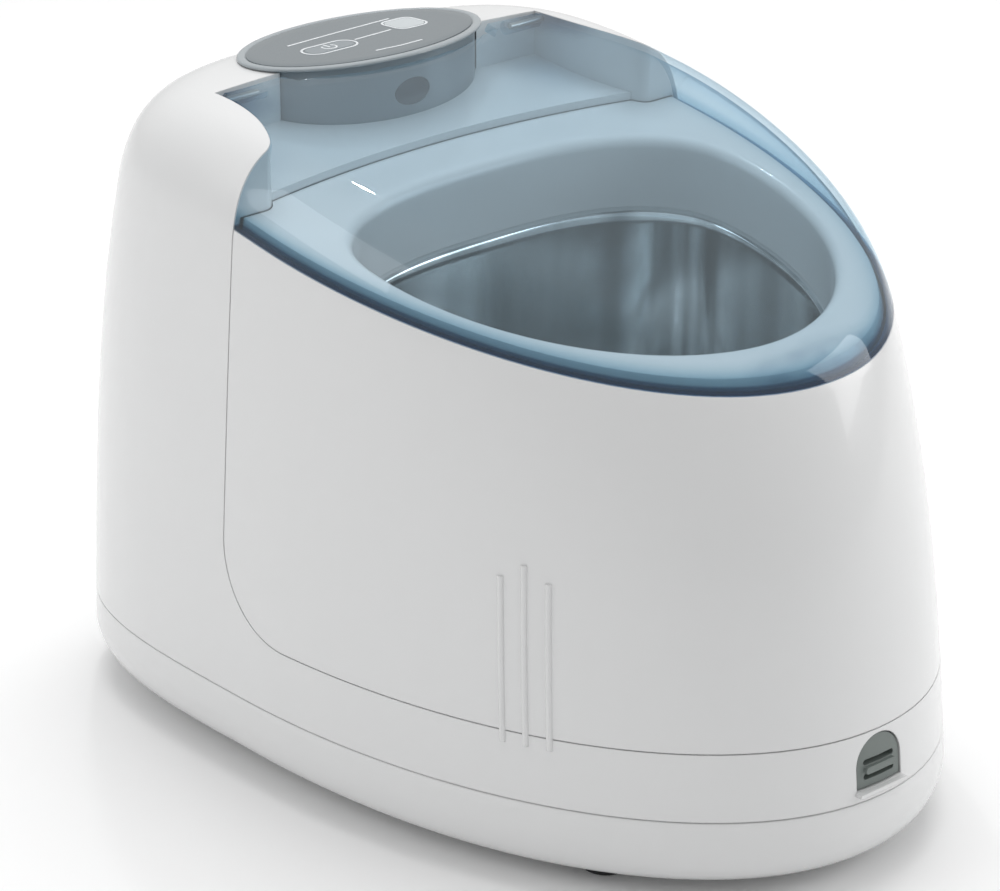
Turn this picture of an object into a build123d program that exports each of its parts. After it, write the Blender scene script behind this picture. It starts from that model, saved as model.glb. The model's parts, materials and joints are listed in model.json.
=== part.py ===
"""Heated paraffin wax bath: egg-shaped housing, clear lift-up lid, polished tank, oval control head.

Frame: +Z up from the floor, the nose points to -Y, the mains inlet to +Y, and X = 0 is the mirror plane.
"""
import os
from math import atan, atan2, cos, degrees, pi, sin

from build123d import *

os.makedirs("parts", exist_ok=True)

# ---- body shape: plan sizes are (at the floor, linear change, cubic change) over the full height ----
HEIGHT = 236.0
HALF_WIDTH = (118.7, -13.4, -2.5)
FRONT_LENGTH = (200.6, -16.8, -49.2)
REAR_LENGTH = (139.4, 4.9, -32.5)
FRONT_POWER, REAR_POWER = 2.05, 3.6
WIDE_Y = 29.5  # the plan is widest here
PEAK_Y = 87.4  # the roof is highest here
ROOF_FRONT_FALL, ROOF_REAR_FALL, ROOF_CROWN = 43.5, 4.4, 3.0
SHOULDER, NOSE_SHARPER = 32.0, 20.0  # height of the rounded shoulder, and how much less at the nose
SHOULDER_STEPS = (0, 0.3, 0.5, 0.7, 1)
ROOF_STEPS = (0.7, 0.35)
# the bottom edge's round as (in from the wall, up from the underside)
BASE_STEPS = ((11.0, 0.0), (5.0, 2.4), (1.2, 7.0), (0.0, 14.0))
SIDES = 48
FOOT_HEIGHT, BASE_ROUND = 5.5, 15.0
WALL = 2.6
FAR = 260.0

# ---- seams ----
BASE_SEAM_Z, U_SEAM_Z, U_CORNER, SIDE_SEAM_Y = 33.0, 57.7, 34.0, 42.4
LID_NOSE_Y, LID_NOSE_Z, LID_SLOPE = -140.4, 173.6, 0.1608
SEAM = 0.4

# ---- mouth, tank and deck ----
MOUTH_Y, MOUTH_HALF, MOUTH_FRONT, MOUTH_REAR = -12.9, 85.5, 98.6, 45.2
MOUTH_FRONT_POWER, MOUTH_REAR_POWER = 1.95, 2.6
DECK_RISE, REAR_FLOOR_RISE, DECK_THICK = 3.5, 6.5, 3.0
RIM_DROP, TANK_WALL, TANK_FLOOR_Z, TANK_ROUND = 24.5, 1.0, 78.0, 15.0
TANK_INSET = 1.5

# ---- horns, lid hinge and control head ----
HORN_CORNER_X, HORN_MID, HORN_TIP_X = 88.0, (79.0, 63.0), 75.5
HINGE_Y, HINGE_Z, BARREL_R, PIN_R = 86.0, 231.7, 2.6, 1.2
BARREL_X, BARREL_LENGTH = 65.0, 16.0
HEAD_Y, PANEL_A, PANEL_B, PANEL_TOP, PANEL_SLOPE, PANEL_THICK = 101.0, 51.5, 32.0, 236.4, 0.06, 1.4
COLUMN_A, COLUMN_B, COLUMN_WALL = 49.0, 29.5, 2.2
BOARD_Z, BOARD_THICK = 224.0, 1.6

# ---- small parts ----
FEET = [(60.5, -98.6), (-60.5, -98.6), (82.0, 112.0), (-82.0, 112.0)]
BASE_SCREWS = [(90.0, 84.0), (-90.0, 84.0), (88.0, -30.0), (-88.0, -30.0)]
LATCH_HALF, LATCH_LOW, LATCH_MID, LATCH_TRAVEL = 10.2, 38.0, 45.4, 3.0
LATCH_FACE_Y, LATCH_BACK_Y = -166.4, -152.0
RIBS = [(-82.6, 112.0), (-90.4, 117.0), (-98.2, 112.0)]  # y on the wall, top z
RIB_WIDTH, RIB_LOW, RIB_PROUD = 2.0, 53.5, 0.7


def grown(size, z):
    """A plan size at height z."""
    t = z / HEIGHT
    return size[0] + size[1] * t + size[2] * t**3


def egg_points(half, front, rear, front_power, rear_power, centre_y, count=SIDES):
    """Points of a closed egg outline, evenly spaced by angle."""
    points = []
    for i in range(count):
        a = 2 * pi * i / count
        length, power = (rear, rear_power) if sin(a) > 0 else (front, front_power)
        r = (abs(cos(a) / half) ** power + abs(sin(a) / length) ** power) ** (-1 / power)
        points.append((r * cos(a), centre_y + r * sin(a)))
    return points


def body_points(z, inset):
    """Plan outline of the body at height z, moved in by inset."""
    sizes = [grown(s, z) - inset for s in (HALF_WIDTH, FRONT_LENGTH, REAR_LENGTH)]
    return egg_points(*sizes, FRONT_POWER, REAR_POWER, WIDE_Y)


def mouth_points(offset, count=SIDES):
    """Outline of the mouth, moved out by offset."""
    sizes = [size + offset for size in (MOUTH_HALF, MOUTH_FRONT, MOUTH_REAR)]
    return egg_points(*sizes, MOUTH_FRONT_POWER, MOUTH_REAR_POWER, MOUTH_Y, count)


def roof_height(x, y):
    """Height of the crowned roof before its shoulder is rounded."""
    d = y - PEAK_Y
    fall = ROOF_FRONT_FALL * (-d / 200) ** 1.85 if d < 0 else ROOF_REAR_FALL * (d / 50) ** 2
    return HEIGHT - fall - ROOF_CROWN * (x / 90) ** 2


def lid_seam_height(y):
    """Height of the sloping lid seam plane."""
    return LID_NOSE_Z + LID_SLOPE * (y - LID_NOSE_Y)


def panel_height(y):
    """Height of the control panel's top plane."""
    return PANEL_TOP - PANEL_SLOPE * (y - HEAD_Y)


def plan_radius(a, z, inset):
    """Distance from the plan's centre to the wall in direction a at height z."""
    half, front, rear = (grown(s, z) - inset for s in (HALF_WIDTH, FRONT_LENGTH, REAR_LENGTH))
    length, power = (rear, REAR_POWER) if sin(a) > 0 else (front, FRONT_POWER)
    return (abs(cos(a) / half) ** power + abs(sin(a) / length) ** power) ** (-1 / power)


def roof_point(a, r, inset):
    """The roof's point at distance r from the plan's centre in direction a."""
    x, y = r * cos(a), WIDE_Y + r * sin(a)
    return Vector(x, y, roof_height(x, y) - inset)


def meridian(a, inset):
    """Points of the form from its underside, up the wall and over the shoulder, in direction a."""

    def wall_point(z, back=0.0):
        r = plan_radius(a, z, inset) - back
        return Vector(r * cos(a), WIDE_Y + r * sin(a), z)

    round_scale = 1 - inset / BASE_ROUND
    bottom = FOOT_HEIGHT + inset
    points = [wall_point(bottom + up * round_scale, back * round_scale) for back, up in BASE_STEPS]
    edge_z = 180.0
    for _ in range(30):
        edge_z = roof_point(a, plan_radius(a, edge_z, inset), inset).Z
    size = SHOULDER - NOSE_SHARPER * max(0, -sin(a)) ** 4 - inset
    edge_r = plan_radius(a, edge_z, inset)
    roof_r = edge_r - 0.8 * size
    low, corner, high = wall_point(edge_z - size), wall_point(edge_z), roof_point(a, roof_r, inset)
    points += [wall_point(60), wall_point(105), wall_point((105 + low.Z) / 2)]
    points += [low * (1 - t) ** 2 + corner * 2 * t * (1 - t) + high * t * t for t in SHOULDER_STEPS]
    return points + [roof_point(a, roof_r * share, inset) for share in ROOF_STEPS]


def envelope(inset):
    """The whole body form as a closed faceted skin, moved in by inset on every side."""
    ribs_up = [meridian(2 * pi * i / SIDES, inset) for i in range(SIDES)]
    top = roof_point(0, 0, inset)
    faces = [Face(Wire.make_polygon([p[0] for p in ribs_up]))]
    for here, there in zip(ribs_up, ribs_up[1:] + ribs_up[:1]):
        faces.append(Face(Wire.make_polygon([here[-1], there[-1], top])))
        for j in range(len(here) - 1):
            faces.append(Face(Wire.make_polygon([here[j], there[j], there[j + 1]])))
            faces.append(Face(Wire.make_polygon([here[j], there[j + 1], here[j + 1]])))
    return Solid(Shell(faces))


def above_seam(rise):
    """Everything above the lid seam plane raised by rise."""
    with BuildPart() as block:
        with BuildSketch(Plane.YZ):
            with BuildLine():
                low_front = (-FAR, lid_seam_height(-FAR) + rise)
                low_rear = (FAR, lid_seam_height(FAR) + rise)
                Polyline(low_front, low_rear, (FAR, 2 * FAR), (-FAR, 2 * FAR), close=True)
            make_face()
        extrude(amount=FAR, both=True)
    return block.part


def front_block(gap):
    """The U-shaped region of the front unit, drawn in by gap from the side and lower seams."""
    rear, low, corner = SIDE_SEAM_Y - gap, U_SEAM_Z + gap, U_CORNER - gap
    with BuildPart() as block:
        with BuildSketch(Plane.YZ):
            with BuildLine():
                high = 2 * FAR
                Polyline((rear, low + corner), (rear, high), (-FAR, high), (-FAR, low), (rear - corner, low))
                CenterArc((rear - corner, low + corner), corner, -90, 90)
            make_face()
        extrude(amount=FAR, both=True)
    return block.part


def mouth_prism(offset, low, high):
    """Upright prism on the mouth's outline."""
    with BuildPart() as prism:
        with BuildSketch(Plane.XY.offset(low)):
            with BuildLine():
                Polyline(*mouth_points(offset), close=True)
            make_face()
        extrude(amount=high - low)
    return prism.part


def head_prism(a, b, low, high):
    """Upright oval prism round the control head's axis."""
    with BuildPart() as prism:
        with BuildSketch(Plane((0, HEAD_Y, low))):
            Ellipse(a, b)
        extrude(amount=high - low)
    return prism.part


def open_top_prism(gap, rear_y, low=150.0):
    """The region in front of the side seam and between the horns, drawn in by gap."""
    with BuildPart() as prism:
        with BuildSketch(Plane.XY.offset(low)) as plan:
            seam_y = SIDE_SEAM_Y - gap
            with BuildLine():
                middle = (HORN_MID[0] - gap, HORN_MID[1])
                right = [(HORN_CORNER_X - gap, seam_y), middle, (HORN_TIP_X - gap, rear_y)]
                left = [(-x, y) for x, y in right]
                ThreePointArc(*right)
                Line(right[2], left[2])
                ThreePointArc(*left)
                Line(left[0], right[0])
            make_face()
            with Locations((0, seam_y - FAR / 2)):
                Rectangle(FAR, FAR)
            inner = [v for v in plan.vertices() if abs(v.Y - seam_y) < 0.5 and abs(v.X) < HORN_CORNER_X + 2]
            fillet(inner, radius=4)
        extrude(amount=FAR - low)
    return prism.part


def block(x, y, z):
    """A box given by its low and high limits along each axis."""
    size = [high - low for low, high in (x, y, z)]
    centre = [(low + high) / 2 for low, high in (x, y, z)]
    return Pos(*centre) * Box(*size, mode=Mode.PRIVATE)


# ---- shared forms ----
outer_form = envelope(0)
middle_form = envelope(1.3)
inner_form = envelope(WALL)
liner_form = envelope(WALL + 1.0)
body_shell = outer_form - inner_form
below_seam_full = block((-FAR, FAR), (-FAR, FAR), (0, 2 * FAR)) - above_seam(0)
deck_reach = Pos(0, 54 - 500, 200) * Cylinder(500, 160)  # the deck ends in a shallow arc between the horns

# ---- base tray ----
post_low = FOOT_HEIGHT + WALL - 0.1
post_spots = [(x, y, post_low) for x, y in BASE_SCREWS]
over_base = block((-FAR, FAR), (-FAR, FAR), (BASE_SEAM_Z, 2 * FAR))
with BuildPart() as base_tray:
    add(body_shell)
    add(over_base, mode=Mode.SUBTRACT)
    with Locations(*post_spots):
        Cylinder(4.6, BASE_SEAM_Z - post_low, align=(Align.CENTER, Align.CENTER, Align.MIN))
    with Locations(*[(x, y, 0) for x, y in BASE_SCREWS]):
        Cylinder(1.8, 80, mode=Mode.SUBTRACT)
        Cylinder(3.8, 24, mode=Mode.SUBTRACT)
    with Locations(*[(x, y, 0) for x, y in FEET]):
        Cylinder(3.1, 30, mode=Mode.SUBTRACT)
base_tray.part.label = "base_tray"
export_step(base_tray.part, "parts/base_tray.step")

with BuildPart() as rubber_feet:
    with Locations(*[(x, y, 0) for x, y in FEET]):
        Cone(9.0, 10.0, FOOT_HEIGHT, align=(Align.CENTER, Align.CENTER, Align.MIN))
        Cylinder(3.0, 12.0, align=(Align.CENTER, Align.CENTER, Align.MIN))
rubber_feet.part.label = "rubber_feet"
export_step(rubber_feet.part, "parts/rubber_feet.step")

with BuildPart() as base_screws:
    with Locations(*[(x, y, 9.4) for x, y in BASE_SCREWS]):
        Cylinder(3.5, 2.6, align=(Align.CENTER, Align.CENTER, Align.MIN))
        Cylinder(1.4, 27.6, align=(Align.CENTER, Align.CENTER, Align.MIN))
    with Locations(*[(x, y, 9.4) for x, y in BASE_SCREWS]):
        Box(4.4, 0.9, 2.4, mode=Mode.SUBTRACT)
        Box(0.9, 4.4, 2.4, mode=Mode.SUBTRACT)
base_screws.part.label = "base_screws"
export_step(base_screws.part, "parts/base_screws.step")

with BuildPart() as rating_plate:
    with Locations((0, 20, FOOT_HEIGHT - 0.2)):
        Box(60, 32, 0.4)
    fillet(rating_plate.edges().filter_by(Axis.Z), radius=3)
    add(block((-40, 40), (-20, 60), (FOOT_HEIGHT, 10)), mode=Mode.SUBTRACT)
rating_plate.part.label = "rating_plate"
export_step(rating_plate.part, "parts/rating_plate.step")

# ---- ribs on the sides: short upright ridges that follow the wall ----
RIB_MIDDLE_Z = 85.0
rib_skin = envelope(-RIB_PROUD) - envelope(1.0)


def rib_slabs():
    """One upright slab through the wall for each rib, on both sides."""
    slabs = []
    for y, top in RIBS:
        half, front = grown(HALF_WIDTH, RIB_MIDDLE_Z), grown(FRONT_LENGTH, RIB_MIDDLE_Z)
        x = half * (1 - ((WIDE_Y - y) / front) ** FRONT_POWER) ** (1 / FRONT_POWER)
        turn = atan2((WIDE_Y - y) / front**2, x / half**2)
        for side in (1, -1):
            slab = Box(16, RIB_WIDTH, top - RIB_LOW)
            slabs.append(Pos(side * x, y, (top + RIB_LOW) / 2) * Rot(0, 0, -side * degrees(turn)) * slab)
    return slabs


ribs = Part() + [rib_skin & slab for slab in rib_slabs()]

# ---- front housing ----
front_zone = front_block(SEAM / 2)
over_seam = above_seam(0)
with BuildPart() as front_housing:
    add(body_shell)
    add(ribs)
    add(front_zone, mode=Mode.INTERSECT)
    add(over_seam, mode=Mode.SUBTRACT)
front_housing.part.label = "front_housing"
export_step(front_housing.part, "parts/front_housing.step")

# ---- rear housing: band, back, horns and the pocket between them ----
rear_gap = front_block(-SEAM / 2)
pocket_wall = 2.2
pocket_rear = HINGE_Y + BARREL_R + 1.3
pocket_inner = open_top_prism(0, pocket_rear) + head_prism(COLUMN_A + 0.8, COLUMN_B + 0.8, 150, 260)
pocket_outer = open_top_prism(-pocket_wall, pocket_rear + pocket_wall)
pocket_outer += head_prism(COLUMN_A + 3, COLUMN_B + 3, 150, 260)
pocket_outer = (pocket_outer & middle_form & above_seam(REAR_FLOOR_RISE - DECK_THICK)) - rear_gap
pocket_void = pocket_inner & above_seam(REAR_FLOOR_RISE)
deck_void = (Pos(0, SEAM, 0) * deck_reach & above_seam(-20)) & open_top_prism(0, pocket_rear)
lugs = Part() + [
    block(tuple(sorted((x - 8 * x / abs(x), 125 * x / abs(x)))), (y - 8, y + 8), (BASE_SEAM_Z + SEAM, 38.0))
    for x, y in BASE_SCREWS
]
bosses = Part() + [block(tuple(sorted((s * 74.9, s * 82.0))), (82.2, 89.8), (227.0, 232.2)) for s in (1, -1)]


def latch_prism(offset, rear_y, front_y=-FAR):
    """The latch's round-topped outline, grown by offset, along Y."""
    half, low = LATCH_HALF + offset, LATCH_LOW - offset
    with BuildPart() as prism:
        with BuildSketch(Plane.XZ.offset(-rear_y)):
            with BuildLine():
                Polyline((half, LATCH_MID), (half, low), (-half, low), (-half, LATCH_MID))
                CenterArc((0, LATCH_MID), half, 0, 180)
            make_face()
        extrude(amount=rear_y - front_y)
    return prism.part


latch_hole = latch_prism(SEAM, -140)
inlet_hole = block((-13.8, 13.8), (140, 180), (39.8, 60.2))
with BuildPart() as rear_housing:
    add(body_shell)
    add(ribs)
    add(block((-FAR, FAR), (-FAR, FAR), (-10, BASE_SEAM_Z + SEAM)), mode=Mode.SUBTRACT)
    add(rear_gap, mode=Mode.SUBTRACT)
    add(pocket_outer)
    add(lugs & middle_form)
    add(bosses & middle_form)
    add(pocket_void, mode=Mode.SUBTRACT)
    add(deck_void, mode=Mode.SUBTRACT)
    with Locations(*[(x, y, 30) for x, y in BASE_SCREWS]):
        Cylinder(1.45, 20, mode=Mode.SUBTRACT)
    with Locations((0, HINGE_Y, HINGE_Z)):
        Cylinder(PIN_R + 0.04, 161.4, rotation=(0, 90, 0), mode=Mode.SUBTRACT)
    with Locations((0, HEAD_Y, 210)):
        Box(34, 12, 40, mode=Mode.SUBTRACT)
    add(latch_hole, mode=Mode.SUBTRACT)
    add(inlet_hole, mode=Mode.SUBTRACT)
rear_housing.part.label = "rear_housing"
export_step(rear_housing.part, "parts/rear_housing.step")

# ---- lid and its hinge: the notch clears the panel's rim at every angle of the lid ----
lid_zone = open_top_prism(SEAM, HINGE_Y) & above_seam(SEAM)
panel_room = head_prism(PANEL_A + 0.6, PANEL_B + 0.6, PANEL_TOP - PANEL_THICK - 2.5, PANEL_TOP + 3.5)
lid_notch = head_prism(PANEL_A + 1.3, PANEL_B + 1.3, 200, 260)
for angle in range(5, 80, 5):
    lid_notch += Pos(0, HINGE_Y, HINGE_Z) * Rot(angle, 0, 0) * Pos(0, -HINGE_Y, -HINGE_Z) * panel_room
with BuildPart() as lid_shell:
    add(body_shell)
    add(lid_zone, mode=Mode.INTERSECT)
    add(lid_notch, mode=Mode.SUBTRACT)
    with Locations((BARREL_X, HINGE_Y, HINGE_Z), (-BARREL_X, HINGE_Y, HINGE_Z)):
        Cylinder(BARREL_R, BARREL_LENGTH, rotation=(0, 90, 0))
        Cylinder(PIN_R + 0.05, BARREL_LENGTH + 10, rotation=(0, 90, 0), mode=Mode.SUBTRACT)
lid_shell.part.label = "lid_shell"
export_step(lid_shell.part, "parts/lid_shell.step")

with BuildPart() as hinge_pins:
    with Locations((70.0, HINGE_Y, HINGE_Z), (-70.0, HINGE_Y, HINGE_Z)):
        Cylinder(PIN_R, 21.0, rotation=(0, 90, 0))
hinge_pins.part.label = "hinge_pins"
export_step(hinge_pins.part, "parts/hinge_pins.step")

# ---- tank deck with its collar ----
BOSS_OUT = 7.5  # clamp screws stand this far outside the mouth
boss_angles = [pi * i / 3 for i in range(6)]


def around_mouth(offset, angle):
    """A point on the mouth's outline grown by offset."""
    points = mouth_points(offset, 120)
    return points[round(angle / (2 * pi) * 120) % 120]


def screw_top(angle):
    """Height that a clamp screw reaches inside its boss."""
    return lid_seam_height(around_mouth(BOSS_OUT, angle)[1]) - RIM_DROP + 10


deck_bosses = Part() + [Pos(*around_mouth(BOSS_OUT, a), 180) * Cylinder(3.2, 90) for a in boss_angles]
collar_low = above_seam(1.5 - RIM_DROP)
boss_low = above_seam(0.1 - RIM_DROP - TANK_WALL)
deck_limit = above_seam(-5.0) - above_seam(DECK_RISE)
deck_plan = open_top_prism(SEAM, HINGE_Y)
with BuildPart() as recess:
    with BuildSketch(Plane.XY.offset(100)):
        with BuildLine():
            Polyline(*body_points(190, 8.0), close=True)
        make_face()
    extrude(amount=150)
deck_recess = recess.part & (below_seam_full + (above_seam(-0.1) - above_seam(DECK_RISE - DECK_THICK)))
deck_recess = deck_recess & block((-FAR, FAR), (-FAR, SIDE_SEAM_Y - 4), (0, 300))
deck_outline = deck_plan & deck_reach
above_deck_top = above_seam(DECK_RISE - 0.5)
collar_wall = (mouth_prism(2.2, 100, 260) & collar_low) - above_deck_top
boss_stems = (deck_bosses & boss_low) - above_deck_top
mouth_hole = mouth_prism(0, 90, 270)
with BuildPart() as tank_deck:
    add(liner_form)
    add(deck_limit, mode=Mode.INTERSECT)
    add(deck_outline, mode=Mode.INTERSECT)
    add(deck_recess, mode=Mode.SUBTRACT)
    add(collar_wall)
    add(boss_stems)
    add(mouth_hole, mode=Mode.SUBTRACT)
    with Locations(*[(*around_mouth(BOSS_OUT, a), screw_top(a)) for a in boss_angles]):
        Cylinder(1.25, 60, align=(Align.CENTER, Align.CENTER, Align.MAX), mode=Mode.SUBTRACT)
tank_deck.part.label = "tank_deck"
export_step(tank_deck.part, "parts/tank_deck.step")

# ---- tank with its flange, gasket and clamp ring ----
rim_plane = above_seam(-RIM_DROP)
flange_under = above_seam(-RIM_DROP - TANK_WALL)
tank_low = TANK_FLOOR_Z - TANK_WALL
TANK_CHAMFER = 0.6 * TANK_ROUND  # the bottom edge is drawn as a chamfer inside its round


def tank_form(offset, floor_z):
    """The tank's body grown by offset, with its bottom edge taken off."""
    upright = mouth_prism(offset - TANK_INSET, floor_z, 240)
    with BuildPart() as form:
        add(upright)
        chamfer(form.faces().sort_by(Axis.Z)[0].edges(), length=TANK_CHAMFER)
    return form.part


tank_outside = tank_form(TANK_WALL, tank_low) - rim_plane
tank_inside = tank_form(0, TANK_FLOOR_Z)
tank_flange = (mouth_prism(2.5, 120, 240) & flange_under) - rim_plane
with BuildPart() as tank:
    add(tank_outside)
    add(tank_flange)
    add(tank_inside, mode=Mode.SUBTRACT)
tank.part.label = "tank"
export_step(tank.part, "parts/tank.step")

gasket_ring = mouth_prism(2.2, 120, 240) - mouth_prism(0.2, 110, 250)
with BuildPart() as tank_gasket:
    add(gasket_ring)
    add(rim_plane, mode=Mode.INTERSECT)
    add(collar_low, mode=Mode.SUBTRACT)
tank_gasket.part.label = "tank_gasket"
export_step(tank_gasket.part, "parts/tank_gasket.step")

ring_blank = mouth_prism(9.0, 110, 240) - mouth_prism(0.4, 100, 250)
above_ring = above_seam(-RIM_DROP - TANK_WALL - 2.6)
with BuildPart() as clamp_ring:
    add(ring_blank)
    add(above_ring, mode=Mode.INTERSECT)
    add(flange_under, mode=Mode.SUBTRACT)
    with Locations(*[(*around_mouth(BOSS_OUT, a), 150) for a in boss_angles]):
        Cylinder(1.6, 120, mode=Mode.SUBTRACT)
clamp_ring.part.label = "clamp_ring"
export_step(clamp_ring.part, "parts/clamp_ring.step")

clamp_spots = [(*around_mouth(BOSS_OUT, a), screw_top(a) - 15.2) for a in boss_angles]
with BuildPart() as clamp_screws:
    with Locations(*clamp_spots):
        Cylinder(1.2, 15.0, align=(Align.CENTER, Align.CENTER, Align.MIN))
        Cylinder(2.8, 2.0, align=(Align.CENTER, Align.CENTER, Align.MAX))
clamp_screws.part.label = "clamp_screws"
export_step(clamp_screws.part, "parts/clamp_screws.step")

# ---- heating: plate, element, controls and insulation under and round the tank ----
heat_y, plate_thick, element_r = -36.0, 3.0, 3.2
plate_low = tank_low - plate_thick
with BuildPart() as heater_plate:
    with BuildSketch(Plane((0, heat_y, plate_low))):
        Ellipse(62, 50)
    extrude(amount=plate_thick)
heater_plate.part.label = "heater_plate"
export_step(heater_plate.part, "parts/heater_plate.step")

with BuildPart() as heater_element:
    with BuildLine(Plane((0, heat_y, plate_low - element_r - 0.05))) as loop:
        CenterArc((0, 0), 38, 110, 320)
    with BuildSketch(Plane(loop.line @ 0, z_dir=loop.line % 0)):
        Circle(element_r)
    sweep()
heater_element.part.label = "heater_element"
export_step(heater_element.part, "parts/heater_element.step")

with BuildPart() as thermostat:
    with Locations((0, heat_y, plate_low - 0.05)):
        Cylinder(8.5, 5.5, align=(Align.CENTER, Align.CENTER, Align.MAX))
        Box(24, 5, 1.0, align=(Align.CENTER, Align.CENTER, Align.MAX))
thermostat.part.label = "thermostat"
export_step(thermostat.part, "parts/thermostat.step")

with BuildPart() as thermal_cutout:
    with Locations((20, heat_y, plate_low - 0.05)):
        Cylinder(6.0, 5.0, align=(Align.CENTER, Align.CENTER, Align.MAX))
thermal_cutout.part.label = "thermal_cutout"
export_step(thermal_cutout.part, "parts/thermal_cutout.step")

with BuildPart() as temperature_sensor:
    with Locations((-22, heat_y, plate_low - 0.05)):
        Box(7, 14, 4.0, align=(Align.CENTER, Align.CENTER, Align.MAX))
temperature_sensor.part.label = "temperature_sensor"
export_step(temperature_sensor.part, "parts/temperature_sensor.step")

jacket_wrap = mouth_prism(7.0, 90, 140) - mouth_prism(1.5, 80, 150)
with BuildPart() as insulation_jacket:
    add(jacket_wrap)
insulation_jacket.part.label = "insulation_jacket"
export_step(insulation_jacket.part, "parts/insulation_jacket.step")

# ---- partitions: tray that closes the front unit, dock panel that closes the rear housing ----
plug_y, plug_half = -6.0, (13.0, 8.0)
plug_cut = block((-plug_half[0] - 0.3, plug_half[0] + 0.3), (plug_y - 8.3, plug_y + 8.3), (40, 70))
under_deck = Part() + (block((-FAR, FAR), (-FAR, FAR), (0, 400)) - above_seam(-6.0))
tray_zone = front_zone - front_block(pocket_wall)
tray_limit = under_deck - mouth_prism(12, 140, 300)
with BuildPart() as unit_tray:
    add(liner_form)
    add(tray_zone, mode=Mode.INTERSECT)
    add(tray_limit, mode=Mode.INTERSECT)
    add(plug_cut, mode=Mode.SUBTRACT)
unit_tray.part.label = "unit_tray"
export_step(unit_tray.part, "parts/unit_tray.step")

dock_zone = front_block(-pocket_wall) - rear_gap
with BuildPart() as dock_panel:
    add(liner_form)
    add(dock_zone, mode=Mode.INTERSECT)
    add(under_deck, mode=Mode.INTERSECT)
    add(plug_cut, mode=Mode.SUBTRACT)
    add(block((-13, 13), (-FAR, -140), (0, 90)), mode=Mode.SUBTRACT)
dock_panel.part.label = "dock_panel"
export_step(dock_panel.part, "parts/dock_panel.step")

blade_spots = [(x, plug_y, U_SEAM_Z - 10) for x in (-8, 0, 8)]
with BuildPart() as unit_plug:
    with Locations((0, plug_y, U_SEAM_Z + SEAM / 2)):
        Box(2 * plug_half[0], 2 * plug_half[1], 7, align=(Align.CENTER, Align.CENTER, Align.MIN))
    with Locations(*blade_spots):
        Box(1.4, 6, 12, align=(Align.CENTER, Align.CENTER, Align.MIN))
unit_plug.part.label = "unit_plug"
export_step(unit_plug.part, "parts/unit_plug.step")

with BuildPart() as dock_socket:
    with Locations((0, plug_y, U_SEAM_Z - SEAM / 2)):
        Box(2 * plug_half[0], 2 * plug_half[1], 16, align=(Align.CENTER, Align.CENTER, Align.MAX))
    with Locations(*blade_spots):
        Box(1.6, 6.4, 24, mode=Mode.SUBTRACT)
dock_socket.part.label = "dock_socket"
export_step(dock_socket.part, "parts/dock_socket.step")

lead_z = U_SEAM_Z + SEAM / 2 + 4
with BuildPart() as heater_leads:
    with Locations(*[(x, plug_y - plug_half[1], lead_z) for x in (-8, 8)]):
        Cylinder(1.1, 12, rotation=(90, 0, 0), align=(Align.CENTER, Align.CENTER, Align.MIN))
heater_leads.part.label = "heater_leads"
export_step(heater_leads.part, "parts/heater_leads.step")

# ---- control head ----
WINDOW_Z = 223.0


def panel_space():
    """Everything above the underside of the control panel, with a hair of clearance under it."""
    front, rear = HEAD_Y - 60, HEAD_Y + 60
    under = [(y, panel_height(y) - PANEL_THICK - 0.05) for y in (front, rear)]
    with BuildPart() as space:
        with BuildSketch(Plane.YZ):
            with BuildLine():
                Polyline(under[0], under[1], (rear, 300), (front, 300), close=True)
            make_face()
        extrude(amount=80, both=True)
    return space.part


over_panel = panel_space()
column_outside = head_prism(COLUMN_A, COLUMN_B, 200, PANEL_TOP + 4)
column_inside = head_prism(COLUMN_A - COLUMN_WALL, COLUMN_B - COLUMN_WALL, 190, 260)
above_floor = above_seam(REAR_FLOOR_RISE)
with BuildPart() as control_column:
    add(column_outside)
    add(column_inside, mode=Mode.SUBTRACT)
    add(above_floor, mode=Mode.INTERSECT)
    add(over_panel, mode=Mode.SUBTRACT)
    with BuildSketch(Plane.XZ.offset(-HEAD_Y)):
        with Locations((0, WINDOW_Z)):
            Ellipse(8.2, 5.2)
    extrude(amount=60, mode=Mode.SUBTRACT)
control_column.part.label = "control_column"
export_step(control_column.part, "parts/control_column.step")

with BuildPart() as column_window:
    with BuildSketch(Plane.XZ.offset(-HEAD_Y + COLUMN_B - COLUMN_WALL - 1.5)):
        with Locations((0, WINDOW_Z)):
            Ellipse(8.0, 5.0)
    extrude(amount=3.4)
column_window.part.label = "column_window"
export_step(column_window.part, "parts/column_window.step")

panel_tilt = -degrees(atan(PANEL_SLOPE))
panel_plane = Plane(Location((0, HEAD_Y, PANEL_TOP), (panel_tilt, 0, 0)))
button_at, button_size = (-17.0, -3.0), (21.0, 9.0)
window_at, window_size = (23.5, 3.0), 12.5
with BuildPart() as control_panel:
    with BuildSketch(panel_plane):
        Ellipse(PANEL_A, PANEL_B)
    extrude(amount=-PANEL_THICK)
    chamfer(control_panel.faces().sort_by(Axis.Z)[-1].edges(), length=0.9)
    with BuildSketch(panel_plane):
        with Locations(button_at):
            SlotOverall(button_size[0] + 0.6, button_size[1] + 0.6)
        with Locations(window_at):
            RectangleRounded(window_size + 0.2, window_size + 0.2, 3.6)
    extrude(amount=-5, both=True, mode=Mode.SUBTRACT)
control_panel.part.label = "control_panel"
export_step(control_panel.part, "parts/control_panel.step")

with BuildPart() as power_button:
    with BuildSketch(panel_plane.offset(-3.6)):
        with Locations(button_at):
            SlotOverall(*button_size)
    extrude(amount=3.8)
    chamfer(power_button.faces().sort_by(Axis.Z)[-1].edges(), length=0.4)
power_button.part.label = "power_button"
export_step(power_button.part, "parts/power_button.step")

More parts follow.
